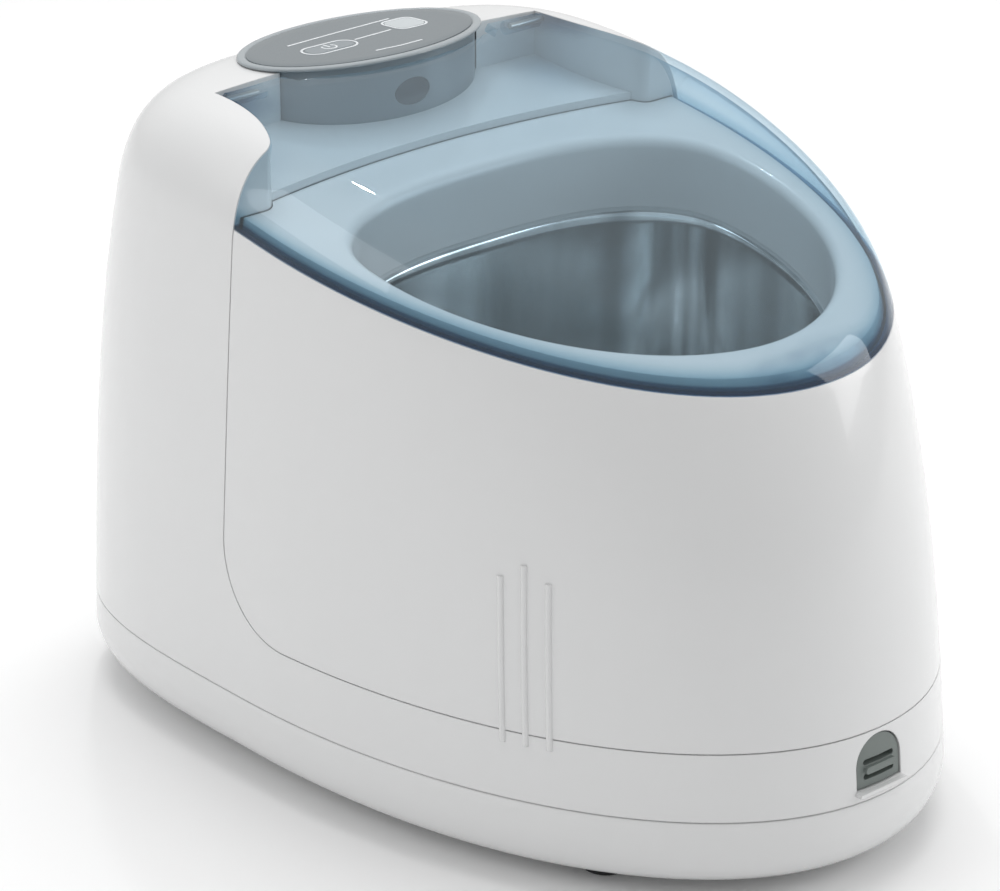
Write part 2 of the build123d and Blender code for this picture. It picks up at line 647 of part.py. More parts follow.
with BuildPart() as display_window:
    with BuildSketch(panel_plane.offset(-1.6)):
        with Locations(window_at):
            RectangleRounded(window_size, window_size, 3.5)
    extrude(amount=1.7)
display_window.part.label = "display_window"
export_step(display_window.part, "parts/display_window.step")

board_plane = Plane((0, HEAD_Y, BOARD_Z))
board_holes = [(34, 9), (-34, 9), (34, -9), (-34, -9)]
with BuildPart() as head_board:
    with BuildSketch(board_plane):
        Rectangle(76, 28)
        with Locations(*board_holes):
            Circle(1.6, mode=Mode.SUBTRACT)
    extrude(amount=BOARD_THICK)
head_board.part.label = "head_board"
export_step(head_board.part, "parts/head_board.step")

board_top = BOARD_Z + BOARD_THICK
with BuildPart() as board_posts:
    with Locations(*[(x, HEAD_Y + y, board_top) for x, y in board_holes]):
        Cylinder(3.0, 20, align=(Align.CENTER, Align.CENTER, Align.MIN))
        Cylinder(1.2, 18, mode=Mode.SUBTRACT)
    add(over_panel, mode=Mode.SUBTRACT)
board_posts.part.label = "board_posts"
export_step(board_posts.part, "parts/board_posts.step")

with BuildPart() as board_screws:
    with Locations(*[(x, HEAD_Y + y, BOARD_Z) for x, y in board_holes]):
        Cylinder(1.1, 8, align=(Align.CENTER, Align.CENTER, Align.MIN))
        Cylinder(2.6, 1.8, align=(Align.CENTER, Align.CENTER, Align.MAX))
board_screws.part.label = "board_screws"
export_step(board_screws.part, "parts/board_screws.step")

with BuildPart() as button_switch:
    with Locations((button_at[0], HEAD_Y + button_at[1], board_top)):
        Box(6, 6, 3.6, align=(Align.CENTER, Align.CENTER, Align.MIN))
        Cylinder(1.6, 5.6, align=(Align.CENTER, Align.CENTER, Align.MIN))
button_switch.part.label = "button_switch"
export_step(button_switch.part, "parts/button_switch.step")

with BuildPart() as indicator_lamp:
    with Locations((window_at[0], HEAD_Y + window_at[1], board_top)):
        Cylinder(2.5, 6.0, align=(Align.CENTER, Align.CENTER, Align.MIN))
    fillet(indicator_lamp.faces().sort_by(Axis.Z)[-1].edges(), radius=2.2)
indicator_lamp.part.label = "indicator_lamp"
export_step(indicator_lamp.part, "parts/indicator_lamp.step")

# ---- power board in the base, its leads and the mains inlet ----
power_y, power_z = 88.0, 20.0
standoffs = [(x, power_y + y, FOOT_HEIGHT + WALL + 0.1) for x in (-36, 36) for y in (-24, 24)]
with BuildPart() as board_standoffs:
    with Locations(*standoffs):
        Cylinder(3.0, power_z - standoffs[0][2], align=(Align.CENTER, Align.CENTER, Align.MIN))
board_standoffs.part.label = "board_standoffs"
export_step(board_standoffs.part, "parts/board_standoffs.step")

with BuildPart() as power_board:
    with Locations((0, power_y, power_z)):
        Box(84, 60, BOARD_THICK, align=(Align.CENTER, Align.CENTER, Align.MIN))
power_board.part.label = "power_board"
export_step(power_board.part, "parts/power_board.step")

power_top = power_z + BOARD_THICK
with BuildPart() as power_parts:
    with Locations((-26, power_y + 6, power_top)):
        Box(30, 26, 22, align=(Align.CENTER, Align.CENTER, Align.MIN))
    with Locations((22, power_y + 2, power_top)):
        Box(18, 14, 16, align=(Align.CENTER, Align.CENTER, Align.MIN))
    with Locations((14, power_y - 12, power_top), (28, power_y - 12, power_top)):
        Cylinder(5.5, 14, align=(Align.CENTER, Align.CENTER, Align.MIN))
power_parts.part.label = "power_parts"
export_step(power_parts.part, "parts/power_parts.step")

with BuildPart() as terminal_block:
    with Locations((28, power_y + 22, power_top)):
        Box(24, 10, 11, align=(Align.CENTER, Align.CENTER, Align.MIN))
terminal_block.part.label = "terminal_block"
export_step(terminal_block.part, "parts/terminal_block.step")

inlet_face_y, inlet_back_y = 169.0, 148.0
with BuildPart() as mains_inlet:
    add(block((-13.5, 13.5), (inlet_back_y, inlet_face_y), (40.1, 59.9)))
    add(block((-11.8, 11.8), (inlet_back_y + 3, inlet_face_y + 2), (41.8, 58.2)), mode=Mode.SUBTRACT)
mains_inlet.part.label = "mains_inlet"
export_step(mains_inlet.part, "parts/mains_inlet.step")

with BuildPart() as inlet_pins:
    with Locations(*[(x, inlet_back_y + 3, z) for x, z in ((-7, 48), (7, 48), (0, 52.5))]):
        Box(2, 12, 4, align=(Align.CENTER, Align.MIN, Align.CENTER))
inlet_pins.part.label = "inlet_pins"
export_step(inlet_pins.part, "parts/inlet_pins.step")

with BuildPart() as mains_leads:
    for x in (22, 28, 34):
        with BuildLine(Plane.YZ.offset(x)) as route:
            low_end, high_end = (power_y + 27.2, 27), (inlet_back_y + 2, 50)
            FilletPolyline(low_end, (power_y + 40, 27), (power_y + 40, 50), high_end, radius=6)
        with BuildSketch(Plane(route.line @ 0, z_dir=route.line % 0)):
            Circle(1.2)
        sweep(path=route.line)
mains_leads.part.label = "mains_leads"
export_step(mains_leads.part, "parts/mains_leads.step")

with BuildPart() as ribbon_cable:
    with Locations((0, HEAD_Y - 3, power_top + 0.1)):
        Box(18, 1.0, BOARD_Z - power_top - 0.2, align=(Align.CENTER, Align.CENTER, Align.MIN))
ribbon_cable.part.label = "ribbon_cable"
export_step(ribbon_cable.part, "parts/ribbon_cable.step")

# ---- release latch at the nose ----
latch_body = latch_prism(0, LATCH_BACK_Y, LATCH_FACE_Y - 4)
with BuildPart() as release_latch:
    add(latch_body)
    add(outer_form, mode=Mode.INTERSECT)
    add(block((-7.5, 7.5), (-180, LATCH_FACE_Y + 2.5), (45.6, 47.4)), mode=Mode.SUBTRACT)
    add(block((-7.5, 7.5), (-180, LATCH_FACE_Y + 2.5), (40.8, 42.6)), mode=Mode.SUBTRACT)
    add(block((-3, 3), (LATCH_BACK_Y - 0.1, -144), (40, 46)))
release_latch.part.label = "release_latch"
export_step(release_latch.part, "parts/release_latch.step")

with BuildPart() as latch_guide:
    add(block((-9, 9), (-148, -128), (BASE_SEAM_Z - 20, 50)))
    add(block((-3.5, 3.5), (-150, -131), (39.5, 46.5)), mode=Mode.SUBTRACT)
    add(block((-7, 7), (-150, -120), (0, 36)), mode=Mode.SUBTRACT)
    add(block((-20, 20), (-200, -100), (0, FOOT_HEIGHT + WALL + 0.2)), mode=Mode.SUBTRACT)
latch_guide.part.label = "latch_guide"
export_step(latch_guide.part, "parts/latch_guide.step")

with BuildPart() as latch_spring:
    with Locations((0, -143.8, 43)):
        Cylinder(2.6, 12.6, rotation=(-90, 0, 0), align=(Align.CENTER, Align.CENTER, Align.MIN))
        Cylinder(1.6, 40, rotation=(-90, 0, 0), mode=Mode.SUBTRACT)
latch_spring.part.label = "latch_spring"
export_step(latch_spring.part, "parts/latch_spring.step")
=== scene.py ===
"""Heated salon bath: egg-shaped housing, clear lift-up lid, polished tank and oval control head.

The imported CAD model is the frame. Smooth shells, the tank and the control head are rebuilt here from the same
form rules as the CAD bodies and stand for them; the inner CAD nodes stay and only get their finishes.
"""

import json
import logging
from collections.abc import Callable, Sequence
from dataclasses import dataclass, field
from enum import Enum
from math import cos, pi, sin

import bmesh
import bpy
import numpy as np
from mathutils import Euler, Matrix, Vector

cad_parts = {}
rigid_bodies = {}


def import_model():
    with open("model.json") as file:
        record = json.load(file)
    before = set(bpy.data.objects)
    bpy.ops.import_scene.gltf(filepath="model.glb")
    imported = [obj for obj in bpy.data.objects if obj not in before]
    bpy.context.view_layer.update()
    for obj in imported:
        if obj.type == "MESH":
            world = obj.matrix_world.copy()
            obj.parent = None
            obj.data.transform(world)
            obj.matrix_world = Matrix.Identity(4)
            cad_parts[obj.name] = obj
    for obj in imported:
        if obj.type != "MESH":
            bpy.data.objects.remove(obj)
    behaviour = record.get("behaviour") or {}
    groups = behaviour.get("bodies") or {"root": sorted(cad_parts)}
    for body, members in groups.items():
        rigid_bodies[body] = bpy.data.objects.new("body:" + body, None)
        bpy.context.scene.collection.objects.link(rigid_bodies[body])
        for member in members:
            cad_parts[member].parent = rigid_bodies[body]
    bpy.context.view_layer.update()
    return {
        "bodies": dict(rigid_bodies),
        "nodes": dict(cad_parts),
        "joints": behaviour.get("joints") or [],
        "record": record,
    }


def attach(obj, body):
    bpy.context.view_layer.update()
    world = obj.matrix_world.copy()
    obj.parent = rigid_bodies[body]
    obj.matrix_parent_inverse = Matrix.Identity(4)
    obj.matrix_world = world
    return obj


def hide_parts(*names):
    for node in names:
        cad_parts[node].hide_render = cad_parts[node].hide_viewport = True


Pair = tuple[float, float]
Triple = tuple[float, float, float]
Outline = list[Pair]
Socket = bpy.types.NodeSocket

LOG = logging.getLogger("salon_bath")

# Lengths are in millimetres unless a name or a docstring says metres.
MM = 0.001
FAR = 260.0
ROUND_STEPS = 24
SEAM = 0.4
DECK_RISE = 3.5
DECK_REAR = 54.0
DECK_BOW = 500.0
HINGE_Y = 86.0
HEAD_Y = 101.0
COLUMN_HALF: Pair = (49.0, 29.5)


class Carve(Enum):
    """How a tool solid changes a body."""

    CUT = "DIFFERENCE"
    KEEP = "INTERSECT"
    JOIN = "UNION"


class Along(Enum):
    """The axis that an outline is drawn out along."""

    X = "x"
    Y = "y"
    Z = "z"


# --------------------------------------------------------------------------------------------------
# Mesh helpers
# --------------------------------------------------------------------------------------------------


def link_mesh(name: str, points: np.ndarray, faces: list[list[int]]) -> bpy.types.Object:
    """Make an object from points and faces.

    Args:
        name: The object's name.
        points: Rows of x, y and z in millimetres.
        faces: Lists of point numbers, each wound to face outwards.

    Returns:
        The new object, in metres.
    """
    mesh = bpy.data.meshes.new(name)
    mesh.from_pydata((np.asarray(points) * MM).tolist(), [], faces)
    mesh.update()
    made = bpy.data.objects.new(name, mesh)
    bpy.context.scene.collection.objects.link(made)
    return made


def loft(
    name: str,
    rings: Sequence[np.ndarray],
    low: Sequence[float] | None = None,
    high: Sequence[float] | None = None,
    wrap: bool = False,
) -> bpy.types.Object:
    """Skin a stack of closed rings.

    Args:
        name: The object's name.
        rings: Rings of equal length, each running anticlockwise seen from above.
        low: A point that closes the first ring.
        high: A point that closes the last ring.
        wrap: True joins the last ring back to the first.

    Returns:
        The skinned object.
    """
    count = len(rings[0])
    points = np.concatenate(list(rings))
    faces: list[list[int]] = []
    pairs = len(rings) if wrap else len(rings) - 1
    for i in range(pairs):
        here, there = i * count, ((i + 1) % len(rings)) * count
        for j in range(count):
            k = (j + 1) % count
            faces.append([here + j, here + k, there + k, there + j])
    for end, first, turn in ((low, 0, True), (high, (len(rings) - 1) * count, False)):
        if end is None:
            continue
        centre = len(points)
        points = np.vstack([points, np.asarray(end)])
        for j in range(count):
            k = (j + 1) % count
            faces.append([centre, first + k, first + j] if turn else [centre, first + j, first + k])
    return link_mesh(name, points, faces)


def prism(outline: Outline, along: Along, low: float, high: float) -> bpy.types.Object:
    """Draw an outline out into a closed solid.

    Args:
        outline: Points in the two axes other than the one drawn along, in their usual order.
        along: The axis that it is drawn out along.
        low: Where it starts on that axis.
        high: Where it ends.

    Returns:
        The solid, with its faces outward.
    """
    order = {Along.X: (2, 0, 1), Along.Y: (0, 2, 1), Along.Z: (0, 1, 2)}[along]
    flat = np.array(outline, float)
    count = len(flat)
    points = np.zeros((2 * count, 3))
    for part, level in ((0, low), (1, high)):
        own = np.column_stack([flat, np.full(count, level)])
        points[part * count : (part + 1) * count] = own[:, order]
    faces = [list(range(count)), list(range(2 * count - 1, count - 1, -1))]
    faces += [[j, (j + 1) % count, (j + 1) % count + count, j + count] for j in range(count)]
    made = link_mesh("tool", points, faces)
    work = bmesh.new()
    work.from_mesh(made.data)
    bmesh.ops.recalc_face_normals(work, faces=work.faces)
    work.to_mesh(made.data)
    work.free()
    return made


def discard(*objects: bpy.types.Object) -> None:
    """Remove objects and their meshes."""
    for thing in objects:
        mesh = thing.data
        bpy.data.objects.remove(thing)
        if mesh.users == 0:
            bpy.data.meshes.remove(mesh)


def settle(thing: bpy.types.Object) -> bpy.types.Object:
    """Turn an object and its modifiers into a plain mesh.

    Args:
        thing: The object with live modifiers.

    Returns:
        The same object, with the result as its mesh and no modifiers.
    """
    bpy.context.view_layer.update()
    ready = thing.evaluated_get(bpy.context.evaluated_depsgraph_get())
    mesh = bpy.data.meshes.new_from_object(ready)
    old = thing.data
    thing.modifiers.clear()
    thing.data = mesh
    if old.users == 0:
        bpy.data.meshes.remove(old)
    return thing


def carve(body: bpy.types.Object, tool: bpy.types.Object, how: Carve) -> bpy.types.Object:
    """Change a body by a tool solid, which is used up.

    Args:
        body: The solid to change.
        tool: The other solid.
        how: Cut it away, keep what is common, or join it on.

    Returns:
        The changed body.
    """
    change = body.modifiers.new("carve", "BOOLEAN")
    change.operation = how.value
    change.solver = "EXACT"
    change.object = tool
    settle(body)
    discard(tool)
    return body


def finish_mesh(thing: bpy.types.Object, sharp: float = 32.0) -> bpy.types.Object:
    """Clean a mesh and shade it smooth between its sharp edges.

    Args:
        thing: The object to clean.
        sharp: Edges that turn by more than this many degrees stay crisp.

    Returns:
        The same object.
    """
    work = bmesh.new()
    work.from_mesh(thing.data)
    bmesh.ops.remove_doubles(work, verts=work.verts, dist=0.00002)
    bmesh.ops.dissolve_degenerate(work, edges=work.edges, dist=0.00001)
    for face in work.faces:
        face.smooth = True
    work.to_mesh(thing.data)
    work.free()
    thing.data.set_sharp_from_angle(angle=sharp * pi / 180)
    return thing


def join_meshes(name: str, parts: Sequence[bpy.types.Object]) -> bpy.types.Object:
    """Put several meshes in one object.

    Args:
        name: The name of the result.
        parts: The objects, which are used up.

    Returns:
        One object that holds them all.
    """
    work = bmesh.new()
    for part in parts:
        work.from_mesh(part.data)
    mesh = bpy.data.meshes.new(name)
    work.to_mesh(mesh)
    work.free()
    discard(*parts)
    made = bpy.data.objects.new(name, mesh)
    bpy.context.scene.collection.objects.link(made)
    return made


def oval(half_x: float, half_y: float, centre: Pair, count: int = 96) -> Outline:
    """Points of an ellipse.

    Args:
        half_x: Half its width.
        half_y: Half its length.
        centre: Its centre.
        count: How many points it has.

    Returns:
        The points, anticlockwise.
    """
    turns = [2 * pi * i / count for i in range(count)]
    return [(centre[0] + half_x * cos(a), centre[1] + half_y * sin(a)) for a in turns]


def round_box(low: Pair, high: Pair, radius: float) -> Outline:
    """Points of a rectangle with rounded corners.

    Args:
        low: Its lower left corner.
        high: Its upper right corner.
        radius: The radius of its corners.

    Returns:
        The points, anticlockwise.
    """
    corners = [
        (high[0] - radius, high[1] - radius, 0.0),
        (low[0] + radius, high[1] - radius, pi / 2),
        (low[0] + radius, low[1] + radius, pi),
        (high[0] - radius, low[1] + radius, 1.5 * pi),
    ]
    points = []
    for x, y, start in corners:
        turns = [start + pi / 2 * i / 8 for i in range(9)]
        points += [(x + radius * cos(a), y + radius * sin(a)) for a in turns]
    return points


class NodeBench:
    """A node tree under construction, with short calls for its nodes."""

    def __init__(self, tree: bpy.types.NodeTree) -> None:
        """Take up a tree.

        Args:
            tree: The tree that the nodes go in.
        """
        self.tree = tree

    def node(self, kind: str, values: dict | None = None, **settings: object) -> bpy.types.Node:
        """Add a node.

        Args:
            kind: The node's type.
            values: Socket values or links by name or number.
            settings: Attributes of the node itself.

        Returns:
            The node.
        """
        made = self.tree.nodes.new(kind)
        for key, value in settings.items():
            setattr(made, key, value)
        for key, value in (values or {}).items():
            if isinstance(value, Socket):
                self.tree.links.new(value, made.inputs[key])
            else:
                made.inputs[key].default_value = value
        return made

    def sums(self, how: str, a: object, b: object = 0.0, clamp: bool = False) -> Socket:
        """One step of arithmetic.

        Args:
            how: The operation.
            a: The first value, as a number or a socket.
            b: The second value.
            clamp: True holds the result between 0 and 1.

        Returns:
            The result.
        """
        return self.node("ShaderNodeMath", {0: a, 1: b}, operation=how, use_clamp=clamp).outputs[0]


# --------------------------------------------------------------------------------------------------
# Finishes
# --------------------------------------------------------------------------------------------------


class Shader(NodeBench):
    """A material under construction."""

    def __init__(self, name: str) -> None:
        """Start an empty material.

        Args:
            name: The material's name.
        """
        self.material = bpy.data.materials.new(name)
        self.material.use_nodes = True
        super().__init__(self.material.node_tree)
        self.tree.nodes.clear()
        self.out = self.tree.nodes.new("ShaderNodeOutputMaterial")

    def noise(self, size: float, detail: float = 3.0, scale: Triple = (1.0, 1.0, 1.0)) -> Socket:
        """Noise from 0 to 1 over the object's own coordinates.

        Args:
            size: How many features there are to a metre.
            detail: How many octaves it has.
            scale: A stretch along each axis.

        Returns:
            The noise value.
        """
        where = self.node("ShaderNodeTexCoord").outputs["Object"]
        placed = self.node("ShaderNodeMapping", {"Vector": where, "Scale": scale}).outputs["Vector"]
        values = {"Vector": placed, "Scale": size, "Detail": detail}
        return self.node("ShaderNodeTexNoise", values).outputs["Fac"]

    def span(
        self, value: Socket, low: float, high: float, between: Pair = (0.0, 1.0)
    ) -> Socket:
        """Map a value onto low to high, and hold it there.

        Args:
            value: The value to map.
            low: What the first end of its range becomes.
            high: What the second end becomes.
            between: The two ends of its range.

        Returns:
            The mapped value.
        """
        start, end = between
        values = {"Value": value, "From Min": start, "From Max": end, "To Min": low, "To Max": high}
        return self.node("ShaderNodeMapRange", values).outputs["Result"]

    def blend(self, share: object, a: object, b: object) -> Socket:
        """Mix two colours.

        Args:
            share: How much of the second shows, as a number or a socket.
            a: The first colour, as a socket or red, green and blue.
            b: The second colour.

        Returns:
            The mixed colour.
        """
        made = self.node("ShaderNodeMix", data_type="RGBA")
        sockets = {"Factor": made.inputs[0], "A": made.inputs[6], "B": made.inputs[7]}
        for key, value in (("Factor", share), ("A", a), ("B", b)):
            if isinstance(value, Socket):
                self.tree.links.new(value, sockets[key])
            else:
                sockets[key].default_value = value if key == "Factor" else (*value, 1.0)
        return made.outputs[2]

    def relief(
        self, height: Socket, depth: float, strength: float, edge: float = 0.0
    ) -> Socket:
        """A normal with fine relief and softened edges.

        Args:
            height: The relief's height from 0 to 1.
            depth: The height in metres that 1 stands for.
            strength: How strongly it shows.
            edge: The radius in metres that edges look rounded by, or 0 to leave them.

        Returns:
            The normal.
        """
        values: dict = {"Height": height, "Distance": depth, "Strength": strength}
        if edge:
            values["Normal"] = self.node("ShaderNodeBevel", {"Radius": edge}, samples=4).outputs["Normal"]
        return self.node("ShaderNodeBump", values).outputs["Normal"]

    def done(self, surface: Socket) -> bpy.types.Material:
        """Connect the surface and return the material."""
        self.tree.links.new(surface, self.out.inputs["Surface"])
        return self.material


@dataclass(frozen=True)
class Moulding:
    """A moulded or coated solid finish with a faint mottle and a fine surface grain.

    Args:
        name: The material's name.
        colour: Its base colour.
        rough: Its middle roughness.
        mottle: How far its colour drifts.
        grain: Grain features to a metre.
        grain_depth: The grain's height in metres.
        coat: The weight of its clear skin.
        metal: 1 for bare metal.
        edge: The radius in metres that its edges look rounded by.
        stretch: The grain's stretch along each axis.
    """

    name: str
    colour: Triple
    rough: float = 0.35
    mottle: float = 0.05
    grain: float = 1800.0
    grain_depth: float = 0.00002
    coat: float = 0.0
    metal: float = 0.0
    edge: float = 0.0
    stretch: Triple = (1.0, 1.0, 1.0)

    def make(self) -> bpy.types.Material:
        """Build the material."""
        shader = Shader(self.name)
        drift = shader.noise(26.0, 3.0)
        fine = shader.noise(self.grain, 2.0, self.stretch)
        dull = tuple(c * (1 - self.mottle) for c in self.colour)
        tone = shader.blend(drift, self.colour, dull)
        body = shader.node(
            "ShaderNodeBsdfPrincipled",
            {
                "Base Color": tone,
                "Roughness": shader.span(fine, self.rough * 0.8, min(1.0, self.rough * 1.25)),
                "Normal": shader.relief(fine, self.grain_depth, 0.35, self.edge),
                "Metallic": self.metal,
                "Coat Weight": self.coat,
                "Coat Roughness": 0.04,
            },
        )
        return shader.done(body.outputs[0])


@dataclass(frozen=True)
class PolishedSteel:
    """Deep-drawn stainless steel with painted reflections: upright bands of painted highlight and painted
    shade, a floor held part way to the highlight colour, fine drawing marks and a few water spots.

    Args:
        name: The material's name.
        bright: The colour of its bright bands, a painted highlight, which the water spots dim.
        shaded: The colour between them, a painted shade.
        rough: Its middle roughness.
        bands: Painted reflection bands to a metre.
        band_edge: The range of the noise that turns from shaded to bright.
        fade: Heights in metres between which the bands come in over the even floor.
        floor_share: How far the floor is painted towards the bright colour.
        marks: Drawing marks to a metre.
        mark_depth: The height of the marks in metres.
    """

    name: str = "polished_steel"
    bright: Triple = (0.93, 0.95, 0.96)
    shaded: Triple = (0.17, 0.195, 0.205)
    rough: float = 0.13
    bands: float = 24.0
    band_edge: Pair = (0.43, 0.57)
    fade: Pair = (0.081, 0.098)
    floor_share: float = 0.6
    marks: float = 150.0
    mark_depth: float = 0.00004

    def make(self) -> bpy.types.Material:
        """Build the material."""
        shader = Shader(self.name)
        drawn = shader.noise(self.marks, 3.0, (1.0, 1.0, 0.02))
        spotted = shader.span(shader.noise(70.0, 5.0), -0.6, 1.2)
        # Upright bands of painted highlight and painted shade stand in for reflection streaks on the tank wall.
        broad = shader.noise(self.bands, 2.0, (1.0, 1.0, 0.05))
        painted_reflection_share = shader.span(broad, 0.0, 1.0, self.band_edge)
        # Low down the floor is painted at least part way to the highlight colour.
        where = shader.node("ShaderNodeTexCoord").outputs["Object"]
        height = shader.node("ShaderNodeSeparateXYZ", {0: where}).outputs[2]
        floor = shader.span(height, self.floor_share, 0.0, self.fade)
        painted_reflection_share = shader.sums("MAXIMUM", painted_reflection_share, floor)
        tone = shader.blend(spotted, self.bright, tuple(c * 0.86 for c in self.bright))
        tone = shader.blend(painted_reflection_share, self.shaded, tone)
        values = {
            "Base Color": tone,
            "Metallic": 1.0,
            "Roughness": shader.span(drawn, self.rough * 0.6, self.rough * 1.6),
            "Normal": shader.relief(drawn, self.mark_depth, 0.06),
        }
        body = shader.node("ShaderNodeBsdfPrincipled", values)
        return shader.done(body.outputs[0])


@dataclass(frozen=True)
class ClearLid:
    """Blue-tinted clear plastic, deeper where it is seen edge on, with painted shade along its lower rim, at
    its seam edge and beside the horns.

    Args:
        name: The material's name.
        clear: What one face lets through, seen square on.
        deep: What one face lets through at a grazing look.
        rim: What one face lets through along the lower rim, a painted shade.
        navy: What one face lets through at the cut edge, towards the nose and beside the horns; at the edge it
            is partly the tinted edge and partly painted shade of the seam's gap, beside the horns painted shade
            of the gaps.
        haze: The share of light that the plastic scatters.
        rim_height: How far up from the seam the painted shade of the rim reaches, in metres.
        edge_height: How far up from the seam the dark edge reaches, in metres; it is partly painted shade of
            the seam's gap.
        nose_y: Where the lid starts to darken towards its nose and is darkest, in metres along the lid.
        nose_share: How dark the nose gets.
        streaks: Light streaks to a metre in the nose.
        horn_x: The same two places across the lid, beside the horns.
        horn_y: The same two places along the lid, beside the horns.
        horn_share: How dark the painted shade beside the horns gets.
        rim_share: How much of the rim's painted shade shows.
        graze_power: How sharply the tint deepens towards a grazing look.
        mist: The colour of the scattered light.
        gloss: The colour of the reflections.
        index: The refractive index that sets how strong the reflections are.
    """

    name: str = "clear_blue_lid"
    clear: Triple = (0.885, 0.93, 0.955)
    deep: Triple = (0.46, 0.66, 0.78)
    rim: Triple = (0.52, 0.68, 0.76)
    navy: Triple = (0.10, 0.24, 0.38)
    haze: float = 0.04
    rim_height: float = 0.004
    edge_height: float = 0.0013
    nose_y: Pair = (-0.126, -0.139)
    nose_share: float = 0.7
    streaks: float = 55.0
    horn_x: Pair = (0.058, 0.074)
    horn_y: Pair = (0.058, 0.078)
    horn_share: float = 0.6
    rim_share: float = 0.75
    graze_power: float = 3.2
    mist: Triple = (0.55, 0.72, 0.82)
    gloss: Triple = (0.95, 0.98, 1.0)
    index: float = 1.49

    def shade(self, shader: Shader, along: tuple[Socket, ...]) -> tuple[Socket, Socket]:
        """Find how deep the rim's painted shade is and how dark the lid is at its seam edge, towards its nose
        and beside the horns.

        Args:
            shader: The material under construction.
            along: The sockets of x, y and z.

        Returns:
            The share of the rim's painted shade and the share of the darkest tint.
        """
        rise = shader.sums("MULTIPLY", along[1], -LID_SEAM.slope)
        rise = shader.sums("ADD", rise, along[2])
        rise = shader.sums("SUBTRACT", rise, (LID_SEAM.nose_z - LID_SEAM.slope * LID_SEAM.nose_y) * MM)
        # Painted shade along the lower rim; the dark edge at the seam is partly the tinted edge and partly
        # painted shade of the gap.
        low = shader.span(rise, 1.0, 0.0, (self.rim_height, self.rim_height * 2))
        edge = shader.span(rise, 1.0, 0.0, (self.edge_height, self.edge_height * 1.6))
        streaked = shader.span(shader.noise(self.streaks, 1.0, (1.0, 1.0, 3.0)), -0.5, 1.5)
        # Darker towards the nose, broken by light streaks.
        nose = shader.span(along[1], 0.0, 1.0, self.nose_y)
        nose = shader.sums("MULTIPLY", nose, streaked, clamp=True)
        # Painted shade of the gaps beside the horns.
        beside = shader.span(shader.sums("ABSOLUTE", along[0]), 0.0, 1.0, self.horn_x)
        horn = shader.sums("MULTIPLY", beside, shader.span(along[1], 0.0, 1.0, self.horn_y))
        nose = shader.sums("MULTIPLY", nose, self.nose_share)
        dark = shader.sums("MAXIMUM", nose, shader.sums("MULTIPLY", horn, self.horn_share))
        return shader.sums("MULTIPLY", low, self.rim_share), shader.sums("MAXIMUM", dark, edge)

    def make(self) -> bpy.types.Material:
        """Build the material."""
        shader = Shader(self.name)
        where = shader.node("ShaderNodeTexCoord").outputs["Object"]
        split = shader.node("ShaderNodeSeparateXYZ", {0: where})
        low, dark = self.shade(shader, tuple(split.outputs))
        facing = shader.node("ShaderNodeLayerWeight", {"Blend": 0.5}).outputs["Facing"]
        graze = shader.sums("POWER", facing, self.graze_power)
        swirl = shader.span(shader.noise(14.0, 2.0), 0.9, 1.1)
        # The rim's painted shade, then the grazing tint, then the navy of the seam edge, the nose and the
        # painted shade beside the horns.
        tint = shader.blend(low, self.clear, self.rim)
        tint = shader.blend(shader.sums("MULTIPLY", graze, swirl, clamp=True), tint, self.deep)
        tint = shader.blend(dark, tint, self.navy)
        through = shader.node("ShaderNodeBsdfTransparent", {"Color": tint})
        mist = shader.node("ShaderNodeBsdfDiffuse", {"Color": (*self.mist, 1.0)})
        body = shader.node("ShaderNodeMixShader", {0: self.haze, 1: through.outputs[0], 2: mist.outputs[0]})
        ripple = shader.relief(shader.noise(9.0, 1.0), 0.0004, 0.12)
        values = {"Color": (*self.gloss, 1.0), "Roughness": 0.03, "Normal": ripple}
        gloss = shader.node("ShaderNodeBsdfGlossy", values)
        # Inner faces keep no mirror: the Fresnel value there is that of light caught inside glass.
        front = shader.sums("SUBTRACT", 1.0, shader.node("ShaderNodeNewGeometry").outputs["Backfacing"])
        fresnel = shader.node("ShaderNodeFresnel", {"IOR": self.index}).outputs[0]
        mirror = shader.sums("MULTIPLY", fresnel, front)
        skin = shader.node("ShaderNodeMixShader", {0: mirror, 1: body.outputs[0], 2: gloss.outputs[0]})
        return shader.done(skin.outputs[0])


@dataclass(frozen=True)
class DarkGlass:
    """A glossy window or lamp lens, drawn as a solid colour under a clear skin.

    Args:
        name: The material's name.
        colour: Its base colour.
        cloud: How far its colour drifts.
    """

    name: str
    colour: Triple
    cloud: float = 0.1

    def make(self) -> bpy.types.Material:
        """Build the material."""
        shader = Shader(self.name)
        cloud = shader.noise(90.0, 3.0)
        tone = shader.blend(cloud, self.colour, tuple(c * (1 - self.cloud) for c in self.colour))
        rough = shader.span(cloud, 0.05, 0.12)
        values = {"Base Color": tone, "Roughness": rough, "Coat Weight": 0.6, "Coat Roughness": 0.03}
        body = shader.node("ShaderNodeBsdfPrincipled", values)
        return shader.done(body.outputs[0])


